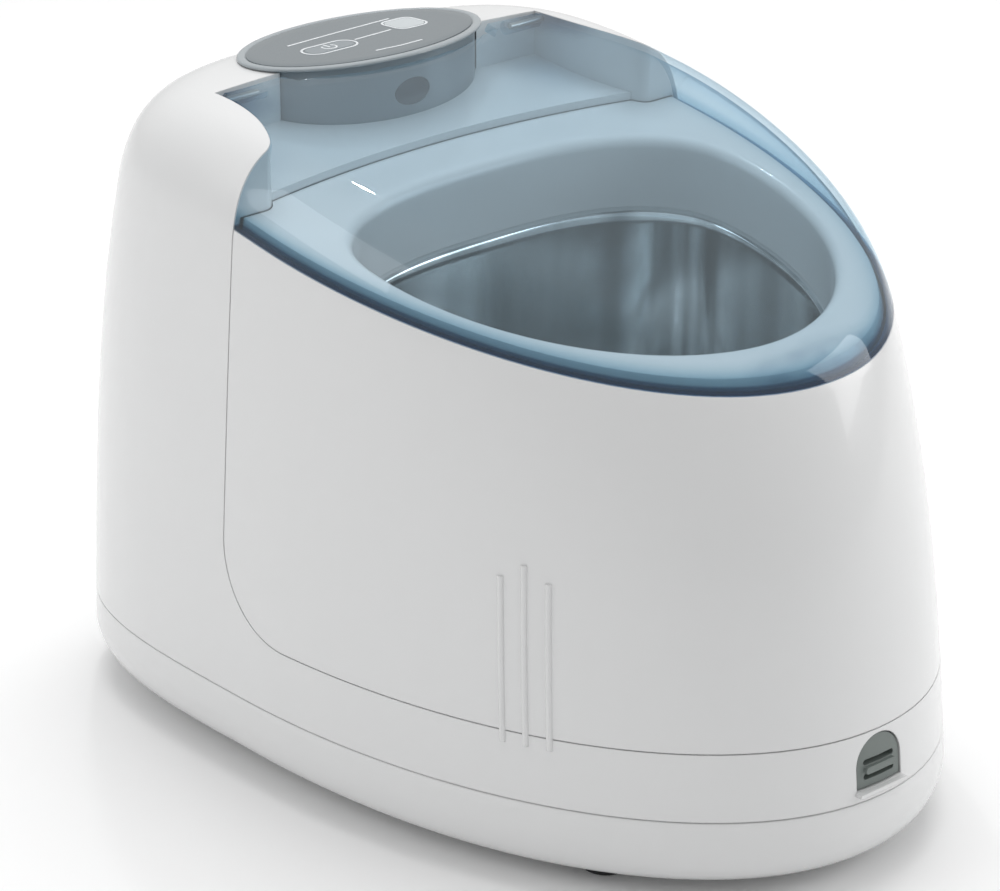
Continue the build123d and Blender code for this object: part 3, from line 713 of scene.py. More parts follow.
class Finishes:
    """Every finish of the bath, each made once."""

    def __init__(self) -> None:
        """Build the materials."""
        white = (0.715, 0.72, 0.722)
        kinds = [
            Moulding("white_plastic", white, 0.24, 0.02, 1500.0, 0.000004, 0.35, edge=0.0006),
            Moulding("grey_plastic", (0.235, 0.265, 0.285), 0.3, 0.07, 1400.0, 0.000004, 0.2, edge=0.0004),
            Moulding("panel_plastic", (0.165, 0.19, 0.205), 0.3, 0.06, 1600.0, 0.000002, 0.25, edge=0.0003),
            Moulding("bezel_plastic", (0.33, 0.365, 0.385), 0.24, 0.06, 1600.0, 0.000002, 0.4, edge=0.0003),
            Moulding("latch_grey", (0.165, 0.19, 0.18), 0.42, 0.08, 2200.0, 0.00003, edge=0.0004),
            Moulding("printed_white", (0.72, 0.75, 0.77), 0.4, 0.05),
            Moulding("black_rubber", (0.022, 0.022, 0.024), 0.72, 0.25, 2600.0, 0.00006),
            Moulding("silicone_seal", (0.55, 0.57, 0.58), 0.55, 0.08),
            Moulding("black_plastic", (0.03, 0.03, 0.033), 0.4, 0.2, edge=0.0003),
            Moulding("inner_plastic", (0.62, 0.63, 0.64), 0.45, 0.06),
            Moulding("brown_moulding", (0.11, 0.05, 0.025), 0.4, 0.2),
            Moulding("zinc_steel", (0.62, 0.62, 0.60), 0.32, 0.12, 900.0, 0.00003, metal=1.0),
            Moulding("cast_aluminium", (0.68, 0.69, 0.70), 0.45, 0.1, 1200.0, 0.00008, metal=1.0),
            Moulding("element_steel", (0.32, 0.30, 0.28), 0.42, 0.2, 900.0, 0.00004, metal=1.0),
            Moulding("contact_brass", (0.80, 0.60, 0.28), 0.28, 0.12, metal=1.0),
            Moulding("felt", (0.58, 0.56, 0.50), 0.95, 0.3, 900.0, 0.0004),
            Moulding("lead_sleeve", (0.42, 0.07, 0.05), 0.5, 0.15),
            Moulding("board_green", (0.03, 0.16, 0.07), 0.4, 0.2),
            Moulding("label_film", (0.60, 0.60, 0.585), 0.3, 0.06),
            PolishedSteel(),
            ClearLid(),
            DarkGlass("smoked_lens", (0.05, 0.065, 0.08)),
            DarkGlass("pale_lens", (0.55, 0.60, 0.62)),
        ]
        self.made = {kind.name: kind.make() for kind in kinds}

    def __getitem__(self, name: str) -> bpy.types.Material:
        """The material of that name."""
        return self.made[name]


def dress(
    thing: bpy.types.Object, material: bpy.types.Material, body: str, slot: str, *nodes: str
) -> bpy.types.Object:
    """Give a finished piece its material, its body and the CAD nodes it stands for.

    Args:
        thing: The finished piece.
        material: Its material.
        body: The CAD body that it rides on.
        slot: The record's material slot; not used.
        nodes: The CAD nodes that it replaces.

    Returns:
        The same piece.
    """
    thing.data.materials.clear()
    thing.data.materials.append(material)
    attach(thing, body)
    if nodes:
        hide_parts(*nodes)
    LOG.info("%s: %d faces on %s", thing.name, len(thing.data.polygons), body)
    return thing


# --------------------------------------------------------------------------------------------------
# Geometry Nodes
# --------------------------------------------------------------------------------------------------


class Tree(NodeBench):
    """A geometry node tree under construction, with named inputs."""

    def __init__(self, name: str, **sizes: float) -> None:
        """Start a tree with a mesh coming in and one going out.

        Args:
            name: The tree's name.
            sizes: Named inputs and their first values, in metres or counts.
        """
        super().__init__(bpy.data.node_groups.new(name, "GeometryNodeTree"))
        face = self.tree.interface
        face.new_socket("Geometry", in_out="INPUT", socket_type="NodeSocketGeometry")
        face.new_socket("Geometry", in_out="OUTPUT", socket_type="NodeSocketGeometry")
        for key, value in sizes.items():
            face.new_socket(key, in_out="INPUT", socket_type="NodeSocketFloat").default_value = value
        face.new_socket("Finish", in_out="INPUT", socket_type="NodeSocketMaterial")
        self.start = self.tree.nodes.new("NodeGroupInput")
        self.end = self.tree.nodes.new("NodeGroupOutput")

    def given(self, name: str) -> Socket:
        """The named input's socket."""
        return self.start.outputs[name]

    def close(self, shape: Socket) -> bpy.types.NodeTree:
        """End the tree in real geometry with its material.

        Args:
            shape: The geometry to send out.

        Returns:
            The finished tree.
        """
        real = self.node("GeometryNodeRealizeInstances", {"Geometry": shape})
        smooth = self.node("GeometryNodeSetShadeSmooth", {"Geometry": real.outputs[0]})
        values = {"Geometry": smooth.outputs[0], "Material": self.given("Finish")}
        painted = self.node("GeometryNodeSetMaterial", values)
        self.tree.links.new(painted.outputs[0], self.end.inputs["Geometry"])
        return self.tree

    def sweep(self, line: Socket, profile: Socket) -> bpy.types.NodeTree:
        """End the tree in a profile drawn along a line.

        Args:
            line: The curve to follow.
            profile: The closed curve that is drawn along it.

        Returns:
            The finished tree.
        """
        values = {"Curve": line, "Profile Curve": profile, "Fill Caps": True}
        return self.close(self.node("GeometryNodeCurveToMesh", values).outputs[0])

    def cone(self, top: Socket, foot: Socket, depth: Socket) -> bpy.types.Node:
        """Add a round block with 40 sides.

        Args:
            top: Its radius at the top.
            foot: Its radius at the bottom.
            depth: Its height.

        Returns:
            The node.
        """
        values = {"Vertices": 40, "Radius Top": top, "Radius Bottom": foot, "Depth": depth}
        return self.node("GeometryNodeMeshCone", values)


def grow(
    name: str, tree: bpy.types.NodeTree, guide: bpy.types.Object, finish: bpy.types.Material, **sizes: float
) -> bpy.types.Object:
    """Run a node tree over a guide mesh and keep the result as a plain mesh.

    Args:
        name: The name of the result.
        tree: The geometry node tree.
        guide: The mesh that it reads, which is used up.
        finish: The material that the tree sets.
        sizes: Values for the tree's named inputs.

    Returns:
        The grown object.
    """
    step = guide.modifiers.new("grow", "NODES")
    step.node_group = tree
    inputs = {i.name: i.identifier for i in tree.interface.items_tree if i.in_out == "INPUT"}
    step[inputs["Finish"]] = finish
    for key, value in sizes.items():
        step[inputs[key]] = value
    guide.name = name
    return settle(guide)


def ridge_tree() -> bpy.types.NodeTree:
    """A tree that draws a round ridge with tapered tips along every line of its guide."""
    tree = Tree("ridge_along_line", Radius=0.001)
    line = tree.node("GeometryNodeMeshToCurve", {"Mesh": tree.given("Geometry")})
    share = tree.node("GeometryNodeSplineParameter").outputs["Factor"]
    centred = tree.sums("SUBTRACT", tree.sums("MULTIPLY", share, 2.0), 1.0)
    steep = tree.sums("POWER", tree.sums("ABSOLUTE", centred), 26.0)
    taper = tree.sums("SUBTRACT", 1.0, steep, clamp=True)
    sized = tree.node("GeometryNodeSetCurveRadius", {"Curve": line.outputs[0], "Radius": taper})
    ring = tree.node("GeometryNodeCurvePrimitiveCircle", {"Resolution": 16, "Radius": tree.given("Radius")})
    return tree.sweep(sized.outputs[0], ring.outputs[0])


def print_tree() -> bpy.types.NodeTree:
    """A tree that lays a flat printed stroke along every line of its guide."""
    tree = Tree("printed_stroke", Width=0.0008, Thickness=0.00008)
    line = tree.node("GeometryNodeMeshToCurve", {"Mesh": tree.given("Geometry")})
    up = tree.node("GeometryNodeSetCurveNormal", {"Curve": line.outputs[0]}, mode="Z_UP")
    values = {"Width": tree.given("Width"), "Height": tree.given("Thickness")}
    bar = tree.node("GeometryNodeCurvePrimitiveQuadrilateral", values)
    return tree.sweep(up.outputs[0], bar.outputs[0])


def foot_tree() -> bpy.types.NodeTree:
    """A tree that stands a rubber foot on every point of its guide."""
    tree = Tree("foot_on_point", Radius=0.009, Height=0.0055)
    wider = tree.sums("MULTIPLY", tree.given("Radius"), 1.11)
    sole = tree.sums("MULTIPLY", tree.given("Radius"), 0.93)
    lip = tree.sums("MULTIPLY", tree.given("Height"), 0.12)
    rest = tree.sums("MULTIPLY", tree.given("Height"), 0.88)
    upper = tree.cone(wider, tree.given("Radius"), rest)
    lifted = tree.node("ShaderNodeCombineXYZ", {"Z": lip}).outputs[0]
    raised = tree.node("GeometryNodeTransform", {"Geometry": upper.outputs[0], "Translation": lifted})
    lower = tree.cone(tree.given("Radius"), sole, lip)
    both = tree.node("GeometryNodeJoinGeometry")
    for part in (raised, lower):
        tree.tree.links.new(part.outputs[0], both.inputs[0])
    values = {"Points": tree.given("Geometry"), "Instance": both.outputs[0]}
    return tree.close(tree.node("GeometryNodeInstanceOnPoints", values).outputs[0])


def lines_mesh(name: str, lines: Sequence[np.ndarray]) -> bpy.types.Object:
    """Make a guide of open lines.

    Args:
        name: The object's name.
        lines: Rows of points in millimetres for each line.

    Returns:
        An object with edges only.
    """
    mesh = bpy.data.meshes.new(name)
    points, edges = [], []
    for line in lines:
        first = len(points)
        points += (np.asarray(line) * MM).tolist()
        edges += [(first + i, first + i + 1) for i in range(len(line) - 1)]
    mesh.from_pydata(points, edges, [])
    made = bpy.data.objects.new(name, mesh)
    bpy.context.scene.collection.objects.link(made)
    return made


# --------------------------------------------------------------------------------------------------
# The form rules shared by all the shells
# --------------------------------------------------------------------------------------------------


@dataclass(frozen=True)
class LidSeam:
    """The sloping plane that the lid closes on."""

    nose_y: float = -140.4
    nose_z: float = 173.6
    slope: float = 0.1608

    def height(self, y: np.ndarray | float) -> np.ndarray | float:
        """The plane's height at y."""
        return self.nose_z + self.slope * (y - self.nose_y)

    def above(self, rise: float) -> bpy.types.Object:
        """A solid of everything above the plane raised by rise."""
        front, rear = self.height(-FAR) + rise, self.height(FAR) + rise
        return prism([(-FAR, front), (FAR, rear), (FAR, 2 * FAR), (-FAR, 2 * FAR)], Along.X, -FAR, FAR)


LID_SEAM = LidSeam()


@dataclass(frozen=True)
class BodyForm:
    """The egg-shaped outer form.

    Its plan sizes are given at the floor, with their linear and cubic change over the height.
    """

    height: float = 236.0
    half_width: Triple = (118.7, -13.4, -2.5)
    front_length: Triple = (200.6, -16.8, -49.2)
    rear_length: Triple = (139.4, 4.9, -32.5)
    front_power: float = 2.05
    rear_power: float = 3.6
    wide_y: float = 29.5
    peak_y: float = 87.4
    front_fall: float = 43.5
    rear_fall: float = 4.4
    crown: float = 3.0
    shoulder: float = 32.0
    nose_sharper: float = 20.0
    foot_height: float = 5.5
    base_round: float = 15.0
    wall: float = 2.6
    meridians: int = 192

    def angles(self) -> np.ndarray:
        """The direction of every meridian."""
        return 2 * pi * np.arange(self.meridians) / self.meridians

    def grown(self, size: Triple, z: np.ndarray | float) -> np.ndarray | float:
        """A plan size at height z."""
        t = z / self.height
        return size[0] + size[1] * t + size[2] * t**3

    def radius(self, a: np.ndarray, z: np.ndarray | float, inset: float) -> np.ndarray:
        """Distance from the plan's centre to the wall.

        Args:
            a: Directions in radians.
            z: The height.
            inset: How far the wall is moved in.

        Returns:
            The distances.
        """
        half = self.grown(self.half_width, z) - inset
        front = self.grown(self.front_length, z) - inset
        rear = self.grown(self.rear_length, z) - inset
        length = np.where(np.sin(a) > 0, rear, front)
        power = np.where(np.sin(a) > 0, self.rear_power, self.front_power)
        return (np.abs(np.cos(a) / half) ** power + np.abs(np.sin(a) / length) ** power) ** (-1 / power)

    def roof(self, x: np.ndarray, y: np.ndarray) -> np.ndarray:
        """Find the crowned roof before its shoulder is rounded.

        Args:
            x: Distances from the middle plane.
            y: Distances along the body.

        Returns:
            The heights.
        """
        d = y - self.peak_y
        ahead = self.front_fall * (np.maximum(-d, 0) / 200) ** 1.85
        behind = self.rear_fall * (np.maximum(d, 0) / 50) ** 2
        return self.height - ahead - behind - self.crown * (x / 90) ** 2

    def wall_ring(self, z: np.ndarray | float, inset: float, back: float = 0.0) -> np.ndarray:
        """A ring of wall points.

        Args:
            z: Their height, or one height for each meridian.
            inset: How far the form is moved in.
            back: A further step towards the centre.

        Returns:
            The ring's points.
        """
        a = self.angles()
        r = self.radius(a, z, inset) - back
        return np.column_stack([r * np.cos(a), self.wide_y + r * np.sin(a), np.broadcast_to(z, a.shape)])

    def roof_ring(self, r: np.ndarray, inset: float) -> np.ndarray:
        """A ring of roof points.

        Args:
            r: Their distances from the plan's centre.
            inset: How far the roof is moved in.

        Returns:
            The ring's points.
        """
        a = self.angles()
        x, y = r * np.cos(a), self.wide_y + r * np.sin(a)
        return np.column_stack([x, y, self.roof(x, y) - inset])

    def base_rings(self, inset: float) -> list[np.ndarray]:
        """Round the bottom edge.

        Args:
            inset: How far the form is moved in.

        Returns:
            The rings, from the underside up.
        """
        scale = 1 - inset / self.base_round
        rings = []
        for t in np.linspace(0, 1, 9):
            back = 19.0 * (1 - t) ** 2 + 2 * 3.0 * t * (1 - t)
            up = 2 * 1.2 * t * (1 - t) + 16.0 * t * t
            rings.append(self.wall_ring(self.foot_height + inset + up * scale, inset, back * scale))
        return rings

    def skin(self, name: str, inset: float) -> bpy.types.Object:
        """The whole form as a closed smooth skin.

        Args:
            name: The object's name.
            inset: How far it is moved in on every side.

        Returns:
            The closed skin.
        """
        a = self.angles()
        rings = self.base_rings(inset)
        edge_z = np.full(a.shape, 180.0)
        for _ in range(40):
            edge_z = self.roof_ring(self.radius(a, edge_z, inset), inset)[:, 2]
        size = self.shoulder - self.nose_sharper * np.maximum(0, -np.sin(a)) ** 4 - inset
        start = rings[-1][:, 2]
        for t in np.linspace(0, 1, 18)[1:-1]:
            rings.append(self.wall_ring(start + (edge_z - size - start) * t, inset))
        roof_r = self.radius(a, edge_z, inset) - 0.8 * size
        low = self.wall_ring(edge_z - size, inset)
        corner = self.wall_ring(edge_z, inset)
        high = self.roof_ring(roof_r, inset)
        for t in np.linspace(0, 1, 19):
            rings.append(low * (1 - t) ** 2 + corner * 2 * t * (1 - t) + high * t * t)
        rings += [self.roof_ring(roof_r * share, inset) for share in np.linspace(1, 0, 20)[1:-1]]
        floor = (0.0, self.wide_y, self.foot_height + inset)
        top = (0.0, self.wide_y, float(self.roof(np.array(0.0), np.array(self.wide_y))) - inset)
        return loft(name, rings, low=floor, high=top)

    def shell(self, name: str) -> bpy.types.Object:
        """The form as a wall of even thickness."""
        return carve(self.skin(name, 0.0), self.skin("inner", self.wall), Carve.CUT)


@dataclass(frozen=True)
class Seams:
    """Where the housings part: the base line, the U round the front unit and the horn gap."""

    base_z: float = 33.0
    unit_z: float = 57.7
    unit_corner: float = 34.0
    side_y: float = 42.4
    horn_corner_x: float = 88.0
    horn_mid: Pair = (79.0, 63.0)
    horn_tip_x: float = 75.5
    horn_round: float = 4.0
    open_z: float = 150.0

    def front_block(self, gap: float) -> bpy.types.Object:
        """The U-shaped region of the front unit.

        Args:
            gap: How far it is drawn in.

        Returns:
            The region as a solid.
        """
        rear, low, corner = self.side_y - gap, self.unit_z + gap, self.unit_corner - gap
        turns = [-pi / 2 + pi / 2 * i / ROUND_STEPS for i in range(ROUND_STEPS + 1)]
        arc = [(rear - corner + corner * cos(t), low + corner + corner * sin(t)) for t in turns]
        return prism([*arc, (rear, 2 * FAR), (-FAR, 2 * FAR), (-FAR, low)], Along.X, -FAR, FAR)

    def horn_edge(self, gap: float, rear_y: float) -> Outline:
        """The right horn's inner edge.

        Args:
            gap: How far the open region beside it is drawn in.
            rear_y: Where the edge ends.

        Returns:
            Points from the horn's front corner to its tip.
        """
        seam_y = self.side_y - gap
        ends = [
            np.array((self.horn_corner_x - gap, seam_y)),
            np.array((self.horn_mid[0] - gap, self.horn_mid[1])),
            np.array((self.horn_tip_x - gap, rear_y)),
        ]
        bow = 2 * ends[1] - (ends[0] + ends[2]) / 2
        shares = np.linspace(0, 1, 40)
        curve = [ends[0] * (1 - t) ** 2 + bow * 2 * t * (1 - t) + ends[2] * t * t for t in shares]
        start = np.array((self.horn_corner_x - gap + self.horn_round, seam_y))
        first = next(i for i, p in enumerate(curve) if np.hypot(*(p - ends[0])) > self.horn_round)
        shares = np.linspace(0, 1, 10)
        turn = [start * (1 - t) ** 2 + ends[0] * 2 * t * (1 - t) + curve[first] * t * t for t in shares]
        return [tuple(p) for p in [*turn, *curve[first + 1 :]]]

    def open_top(self, gap: float, rear_y: float) -> bpy.types.Object:
        """The region in front of the side seam and between the horns.

        Args:
            gap: How far it is drawn in.
            rear_y: Where it ends between the horns.

        Returns:
            The region as a solid.
        """
        right = self.horn_edge(gap, rear_y)
        left = [(-x, y) for x, y in reversed(right)]
        seam_y = self.side_y - gap
        outline = [(FAR, -FAR), (FAR, seam_y), *right, *left, (-FAR, seam_y), (-FAR, -FAR)]
        return prism(outline, Along.Z, self.open_z, FAR)


@dataclass(frozen=True)
class Mouth:
    """The egg-shaped opening over the tank."""

    centre_y: float = -12.9
    half: float = 85.5
    front: float = 98.6
    rear: float = 45.2
    front_power: float = 1.95
    rear_power: float = 2.6
    count: int = 176

    def outline(self) -> tuple[np.ndarray, np.ndarray]:
        """The outline's points and their outward directions in plan."""
        a = 2 * pi * np.arange(self.count) / self.count
        length = np.where(np.sin(a) > 0, self.rear, self.front)
        power = np.where(np.sin(a) > 0, self.rear_power, self.front_power)
        r = (np.abs(np.cos(a) / self.half) ** power + np.abs(np.sin(a) / length) ** power) ** (-1 / power)
        points = np.column_stack([r * np.cos(a), self.centre_y + r * np.sin(a)])
        ahead = np.roll(points, -1, 0) - np.roll(points, 1, 0)
        ahead /= np.linalg.norm(ahead, axis=1)[:, None]
        return points, np.column_stack([ahead[:, 1], -ahead[:, 0]])

    def ring(self, offset: float, height: Callable[[np.ndarray], np.ndarray | float]) -> np.ndarray:
        """A ring round the mouth.

        Args:
            offset: How far out from the outline it runs.
            height: Gives the ring's height from its y.

        Returns:
            The ring's points.
        """
        points, out = self.outline()
        plan = points + out * offset
        return np.column_stack([plan, np.broadcast_to(height(plan[:, 1]), plan[:, 1].shape)])


def deck_reach(gap: float) -> bpy.types.Object:
    """The region in front of the deck's bowed rear edge.

    Args:
        gap: How far the edge is moved back.

    Returns:
        The region as a solid.
    """
    bow = oval(DECK_BOW, DECK_BOW, (0.0, DECK_REAR + gap - DECK_BOW), 360)
    return prism(bow, Along.Z, 100.0, FAR)


# --------------------------------------------------------------------------------------------------
# Sub-assemblies
# --------------------------------------------------------------------------------------------------


@dataclass
class Housing:
    """The white shells with their ribs and feet.

    Args:
        finishes: The materials.
        form: The outer form.
        seams: Where the shells part.
        floor_rise: The pocket's floor over the lid's seam.
        pocket_rear: Where the pocket between the horns ends.
        pocket_wall: The thickness of the pocket's wall.
        column_gap: The room round the control column.
        latch_gap: The room round the latch.
        latch_rear: How deep the latch's opening goes.
        inlet: The corners of the mains opening in x and z.
        ledge: The corners of the step under the latch in x and z.
        ledge_y: Its front and rear.
        ribs: The place along the body and the upper end of each rib.
        rib_low: The lower end of the ribs.
        rib_radius: The radius of a rib.
        rib_lean: How far a rib leans back for each millimetre of height.
        rib_step: How far back the ribs stand at their middle height.
        rib_middle: That height.
        rib_sunk: How deep their centre line sits in the wall.
        feet: The place of each foot.
    """

    finishes: Finishes
    form: BodyForm = field(default_factory=BodyForm)
    seams: Seams = field(default_factory=Seams)
    floor_rise: float = 6.5
    pocket_rear: float = 89.9
    pocket_wall: float = 2.2
    column_gap: float = 0.8
    latch_gap: float = 0.5
    latch_rear: float = -140.0
    inlet: tuple[Pair, Pair] = ((-13.8, 39.8), (13.8, 60.2))
    ledge: tuple[Pair, Pair] = ((-11.4, 35.7), (11.4, 37.3))
    ledge_y: Pair = (-170.2, -164.0)
    ribs: tuple[Pair, ...] = ((-82.6, 112.0), (-90.4, 117.0), (-98.2, 112.0))
    rib_low: float = 53.5
    rib_radius: float = 1.25
    rib_lean: float = 0.08
    rib_step: float = 0.9
    rib_middle: float = 83.0
    rib_sunk: float = 0.45
    feet: tuple[Pair, ...] = ((60.5, -98.6), (-60.5, -98.6), (82.0, 112.0), (-82.0, 112.0))

    def base_tray(self) -> bpy.types.Object:
        """Build the tray under the base seam."""
        form, top = self.form, self.seams.base_z
        outer = form.base_rings(0.0)
        inner = form.base_rings(form.wall)
        outer += [form.wall_ring(z, 0.0) for z in np.linspace(outer[-1][0, 2], top - 0.5, 5)[1:]]
        lip = [form.wall_ring(top - 0.15, 0.0, 0.15), form.wall_ring(top, 0.0, 0.5)]
        inside = [form.wall_ring(z, form.wall) for z in np.linspace(top, inner[-1][0, 2], 4)[:-1]]
        rings = [*outer, *lip, *inside, *reversed(inner)]
        floor = (0.0, form.wide_y, form.foot_height)
        inner_floor = (0.0, form.wide_y, form.foot_height + form.wall)
        made = loft("base_tray_shell", rings, low=floor, high=inner_floor)
        finish_mesh(made)
        return dress(made, self.finishes["white_plastic"], "root", "white_plastic", "base_tray")

    def pocket(self, grow_by: float, rear_y: float) -> bpy.types.Object:
        """The open region between the horns with the room round the control column.

        Args:
            grow_by: How far it is grown.
            rear_y: Where it ends between the horns.

        Returns:
            The region as a solid.
        """
        well = self.seams.open_top(-grow_by, rear_y)
        half_a, half_b = (half + self.column_gap + grow_by for half in COLUMN_HALF)
        ring = oval(half_a, half_b, (0.0, HEAD_Y))
        return carve(well, prism(ring, Along.Z, self.seams.open_z, FAR), Carve.JOIN)

    def rear_housing(self) -> bpy.types.Object:
        """Build the rear housing: the lower band, the back, the horns and the pocket between them."""
        body = self.form.shell("rear_housing_shell")
        square = [(-FAR, -FAR), (FAR, -FAR), (FAR, FAR), (-FAR, FAR)]
        carve(body, prism(square, Along.Z, -FAR, self.seams.base_z + SEAM), Carve.CUT)
        carve(body, self.seams.front_block(-SEAM / 2), Carve.CUT)
        wall = self.form.skin("pocket_wall", self.form.wall / 2)
        carve(wall, self.pocket(self.pocket_wall, self.pocket_rear + self.pocket_wall), Carve.KEEP)
        carve(wall, LID_SEAM.above(DECK_RISE), Carve.KEEP)
        carve(wall, self.seams.front_block(-SEAM / 2), Carve.CUT)
        carve(body, wall, Carve.JOIN)
        void = carve(self.pocket(0.0, self.pocket_rear), LID_SEAM.above(self.floor_rise), Carve.KEEP)
        carve(body, void, Carve.CUT)
        reach = carve(deck_reach(SEAM), LID_SEAM.above(-20.0), Carve.KEEP)
        carve(reach, self.seams.open_top(0.0, self.pocket_rear), Carve.KEEP)
        carve(body, reach, Carve.CUT)
        carve(body, prism(latch_outline(self.latch_gap), Along.Y, -FAR, self.latch_rear), Carve.CUT)
        carve(body, prism(round_box(*self.inlet, 2.5), Along.Y, 140.0, 190.0), Carve.CUT)
        carve(body, prism(round_box(*self.ledge, 0.7), Along.Y, *self.ledge_y), Carve.JOIN)
        finish_mesh(body)
        return dress(body, self.finishes["white_plastic"], "root", "white_plastic", "rear_housing")

    def front_housing(self) -> bpy.types.Object:
        """Build the front unit's outer shell."""
        body = self.form.shell("front_housing_shell")
        carve(body, self.seams.front_block(SEAM / 2), Carve.KEEP)
        carve(body, LID_SEAM.above(0.0), Carve.CUT)
        finish_mesh(body)
        return dress(body, self.finishes["white_plastic"], "root", "white_plastic", "front_housing")

    def side_ribs(self) -> bpy.types.Object:
        """Grow the three upright ridges on each side along the wall."""
        lines = []
        form = self.form
        for y, top in self.ribs:
            for side in (1, -1):
                heights = np.linspace(self.rib_low, top, 26)
                along = y + self.rib_step + self.rib_lean * (heights - self.rib_middle)
                half = form.grown(form.half_width, heights)
                front = form.grown(form.front_length, heights)
                across = (1 - ((form.wide_y - along) / front) ** form.front_power) ** (1 / form.front_power)
                lines.append(np.column_stack([side * (half * across - self.rib_sunk), along, heights]))
        guide = lines_mesh("rib_lines", lines)
        white = self.finishes["white_plastic"]
        made = grow("side_ribs", ridge_tree(), guide, white, Radius=self.rib_radius * MM)
        return dress(made, white, "root", "white_plastic")

    def rubber_feet(self) -> bpy.types.Object:
        """Stand a foot under each corner."""
        guide = link_mesh("feet_points", np.array([(x, y, 0.0) for x, y in self.feet]), [])
        rubber = self.finishes["black_rubber"]
        made = grow("feet", foot_tree(), guide, rubber, Height=self.form.foot_height * MM)
        made.data.set_sharp_from_angle(angle=0.5)
        return dress(made, rubber, "root", "black_rubber", "rubber_feet")

    def build(self) -> list[bpy.types.Object]:
        """Build and dress every white shell, the ribs and the feet."""
        shells = [self.base_tray(), self.rear_housing(), self.front_housing()]
        return [*shells, self.side_ribs(), self.rubber_feet()]


def latch_outline(offset: float, half: float = 10.2, low: float = 38.0, mid: float = 45.4) -> Outline:
    """Points of the latch's round-topped outline, grown by offset.

    Args:
        offset: How far it is grown.
        half: Half its width.
        low: Its lower edge.
        mid: The centre of its round top.

    Returns:
        Points in x and z.
    """
    reach = half + offset
    turns = [pi * i / 32 for i in range(33)]
    arc = [(reach * cos(t), mid + reach * sin(t)) for t in turns]
    return [(reach, low - offset), *arc, (-reach, low - offset)]


@dataclass
class Latch:
    """The grey release latch in the nose, with a grip bar between two slots.

    Args:
        finishes: The materials.
        form: The outer form, which its face follows.
        sunk: How far its face sits under the form.
        back_y: Where its body ends.
        grip_half: Half the width of the slots and the bar.
        slots: The lower and upper edge of each slot.
        slot_rear: How deep the slots go.
        bar: The lower and upper edge of the bar.
        bar_y: The front and rear of the bar.
    """

    finishes: Finishes
    form: BodyForm = field(default_factory=BodyForm)
    sunk: float = 0.5
    back_y: float = -152.0
    grip_half: float = 7.2
    slots: tuple[Pair, ...] = ((45.8, 47.8), (40.6, 42.6))
    slot_rear: float = -163.8
    bar: Pair = (42.9, 45.5)
    bar_y: Pair = (-168.3, -160.0)

    def grip(self, edges: Pair, corner: float, front: float, rear: float) -> bpy.types.Object:
        """A round-cornered block as wide as the grip.

        Args:
            edges: Its lower and upper edge.
            corner: The radius of its corners.
            front: Where it starts.
            rear: Where it ends.

        Returns:
            The block.
        """
        low, high = edges
        return prism(round_box((-self.grip_half, low), (self.grip_half, high), corner), Along.Y, front, rear)

    def build(self) -> list[bpy.types.Object]:
        """Build and dress the latch."""
        body = prism(latch_outline(0.0), Along.Y, -FAR, self.back_y)
        body.name = "latch_button"
        carve(body, self.form.skin("nose", self.sunk), Carve.KEEP)
        for slot in self.slots:
            carve(body, self.grip(slot, 0.9, -FAR, self.slot_rear), Carve.CUT)
        carve(body, self.grip(self.bar, 1.2, *self.bar_y), Carve.JOIN)
        finish_mesh(body)
        return [dress(body, self.finishes["latch_grey"], "latch", "latch_grey", "release_latch")]


@dataclass
class Lid:
    """The clear lid with its hinge barrels.

    Args:
        finishes: The materials.
        form: The outer form.
        seams: Where the lid parts from the horns.
        hinge: The hinge line in y and z.
        barrel_x: The inner and outer end of each barrel.
        barrel_radius: The radius of the barrels.
        notch: The half sizes of the oval notch round the control head.
        room_lap: How much smaller the panel's room is than the notch.
        room_z: The lower and upper level of that room.
        relief_angles: The openings, in degrees, that the room is cleared for.
    """

    finishes: Finishes
    form: BodyForm = field(default_factory=BodyForm)
    seams: Seams = field(default_factory=Seams)
    hinge: Pair = (HINGE_Y, 231.7)
    barrel_x: Pair = (57.0, 73.0)
    barrel_radius: float = 2.6
    notch: Pair = (52.8, 33.3)
    room_lap: float = 0.7
    room_z: Pair = (232.5, 239.9)
    relief_angles: range = range(8, 80, 8)

    def swung_room(self, angle: float) -> bpy.types.Object:
        """The room that the control panel needs in the lid when the lid stands at an angle.

        Args:
            angle: The lid's opening in degrees.

        Returns:
            The room, seen from the closed lid.
        """
        half_a, half_b = (half - self.room_lap for half in self.notch)
        room = prism(oval(half_a, half_b, (0.0, HEAD_Y)), Along.Z, *self.room_z)
        axle = Vector((0.0, self.hinge[0] * MM, self.hinge[1] * MM))
        turn = Euler((angle * pi / 180, 0.0, 0.0)).to_matrix()
        for vertex in room.data.vertices:
            vertex.co = turn @ (vertex.co - axle) + axle
        return room

    def build(self) -> list[bpy.types.Object]:
        """Build and dress the lid."""
        body = self.form.shell("clear_lid")
        carve(body, self.seams.open_top(SEAM, self.hinge[0]), Carve.KEEP)
        carve(body, LID_SEAM.above(SEAM), Carve.KEEP)
        carve(body, prism(oval(*self.notch, (0.0, HEAD_Y)), Along.Z, 190.0, FAR), Carve.CUT)
        for angle in self.relief_angles:
            carve(body, self.swung_room(float(angle)), Carve.CUT)
        for side in (1, -1):
            low, high = sorted(side * x for x in self.barrel_x)
            knuckle = prism(oval(self.barrel_radius, self.barrel_radius, self.hinge, 32), Along.X, low, high)
            carve(body, knuckle, Carve.JOIN)
        finish_mesh(body)
        return [dress(body, self.finishes["clear_blue_lid"], "lid", "tinted_plastic", "lid_shell")]


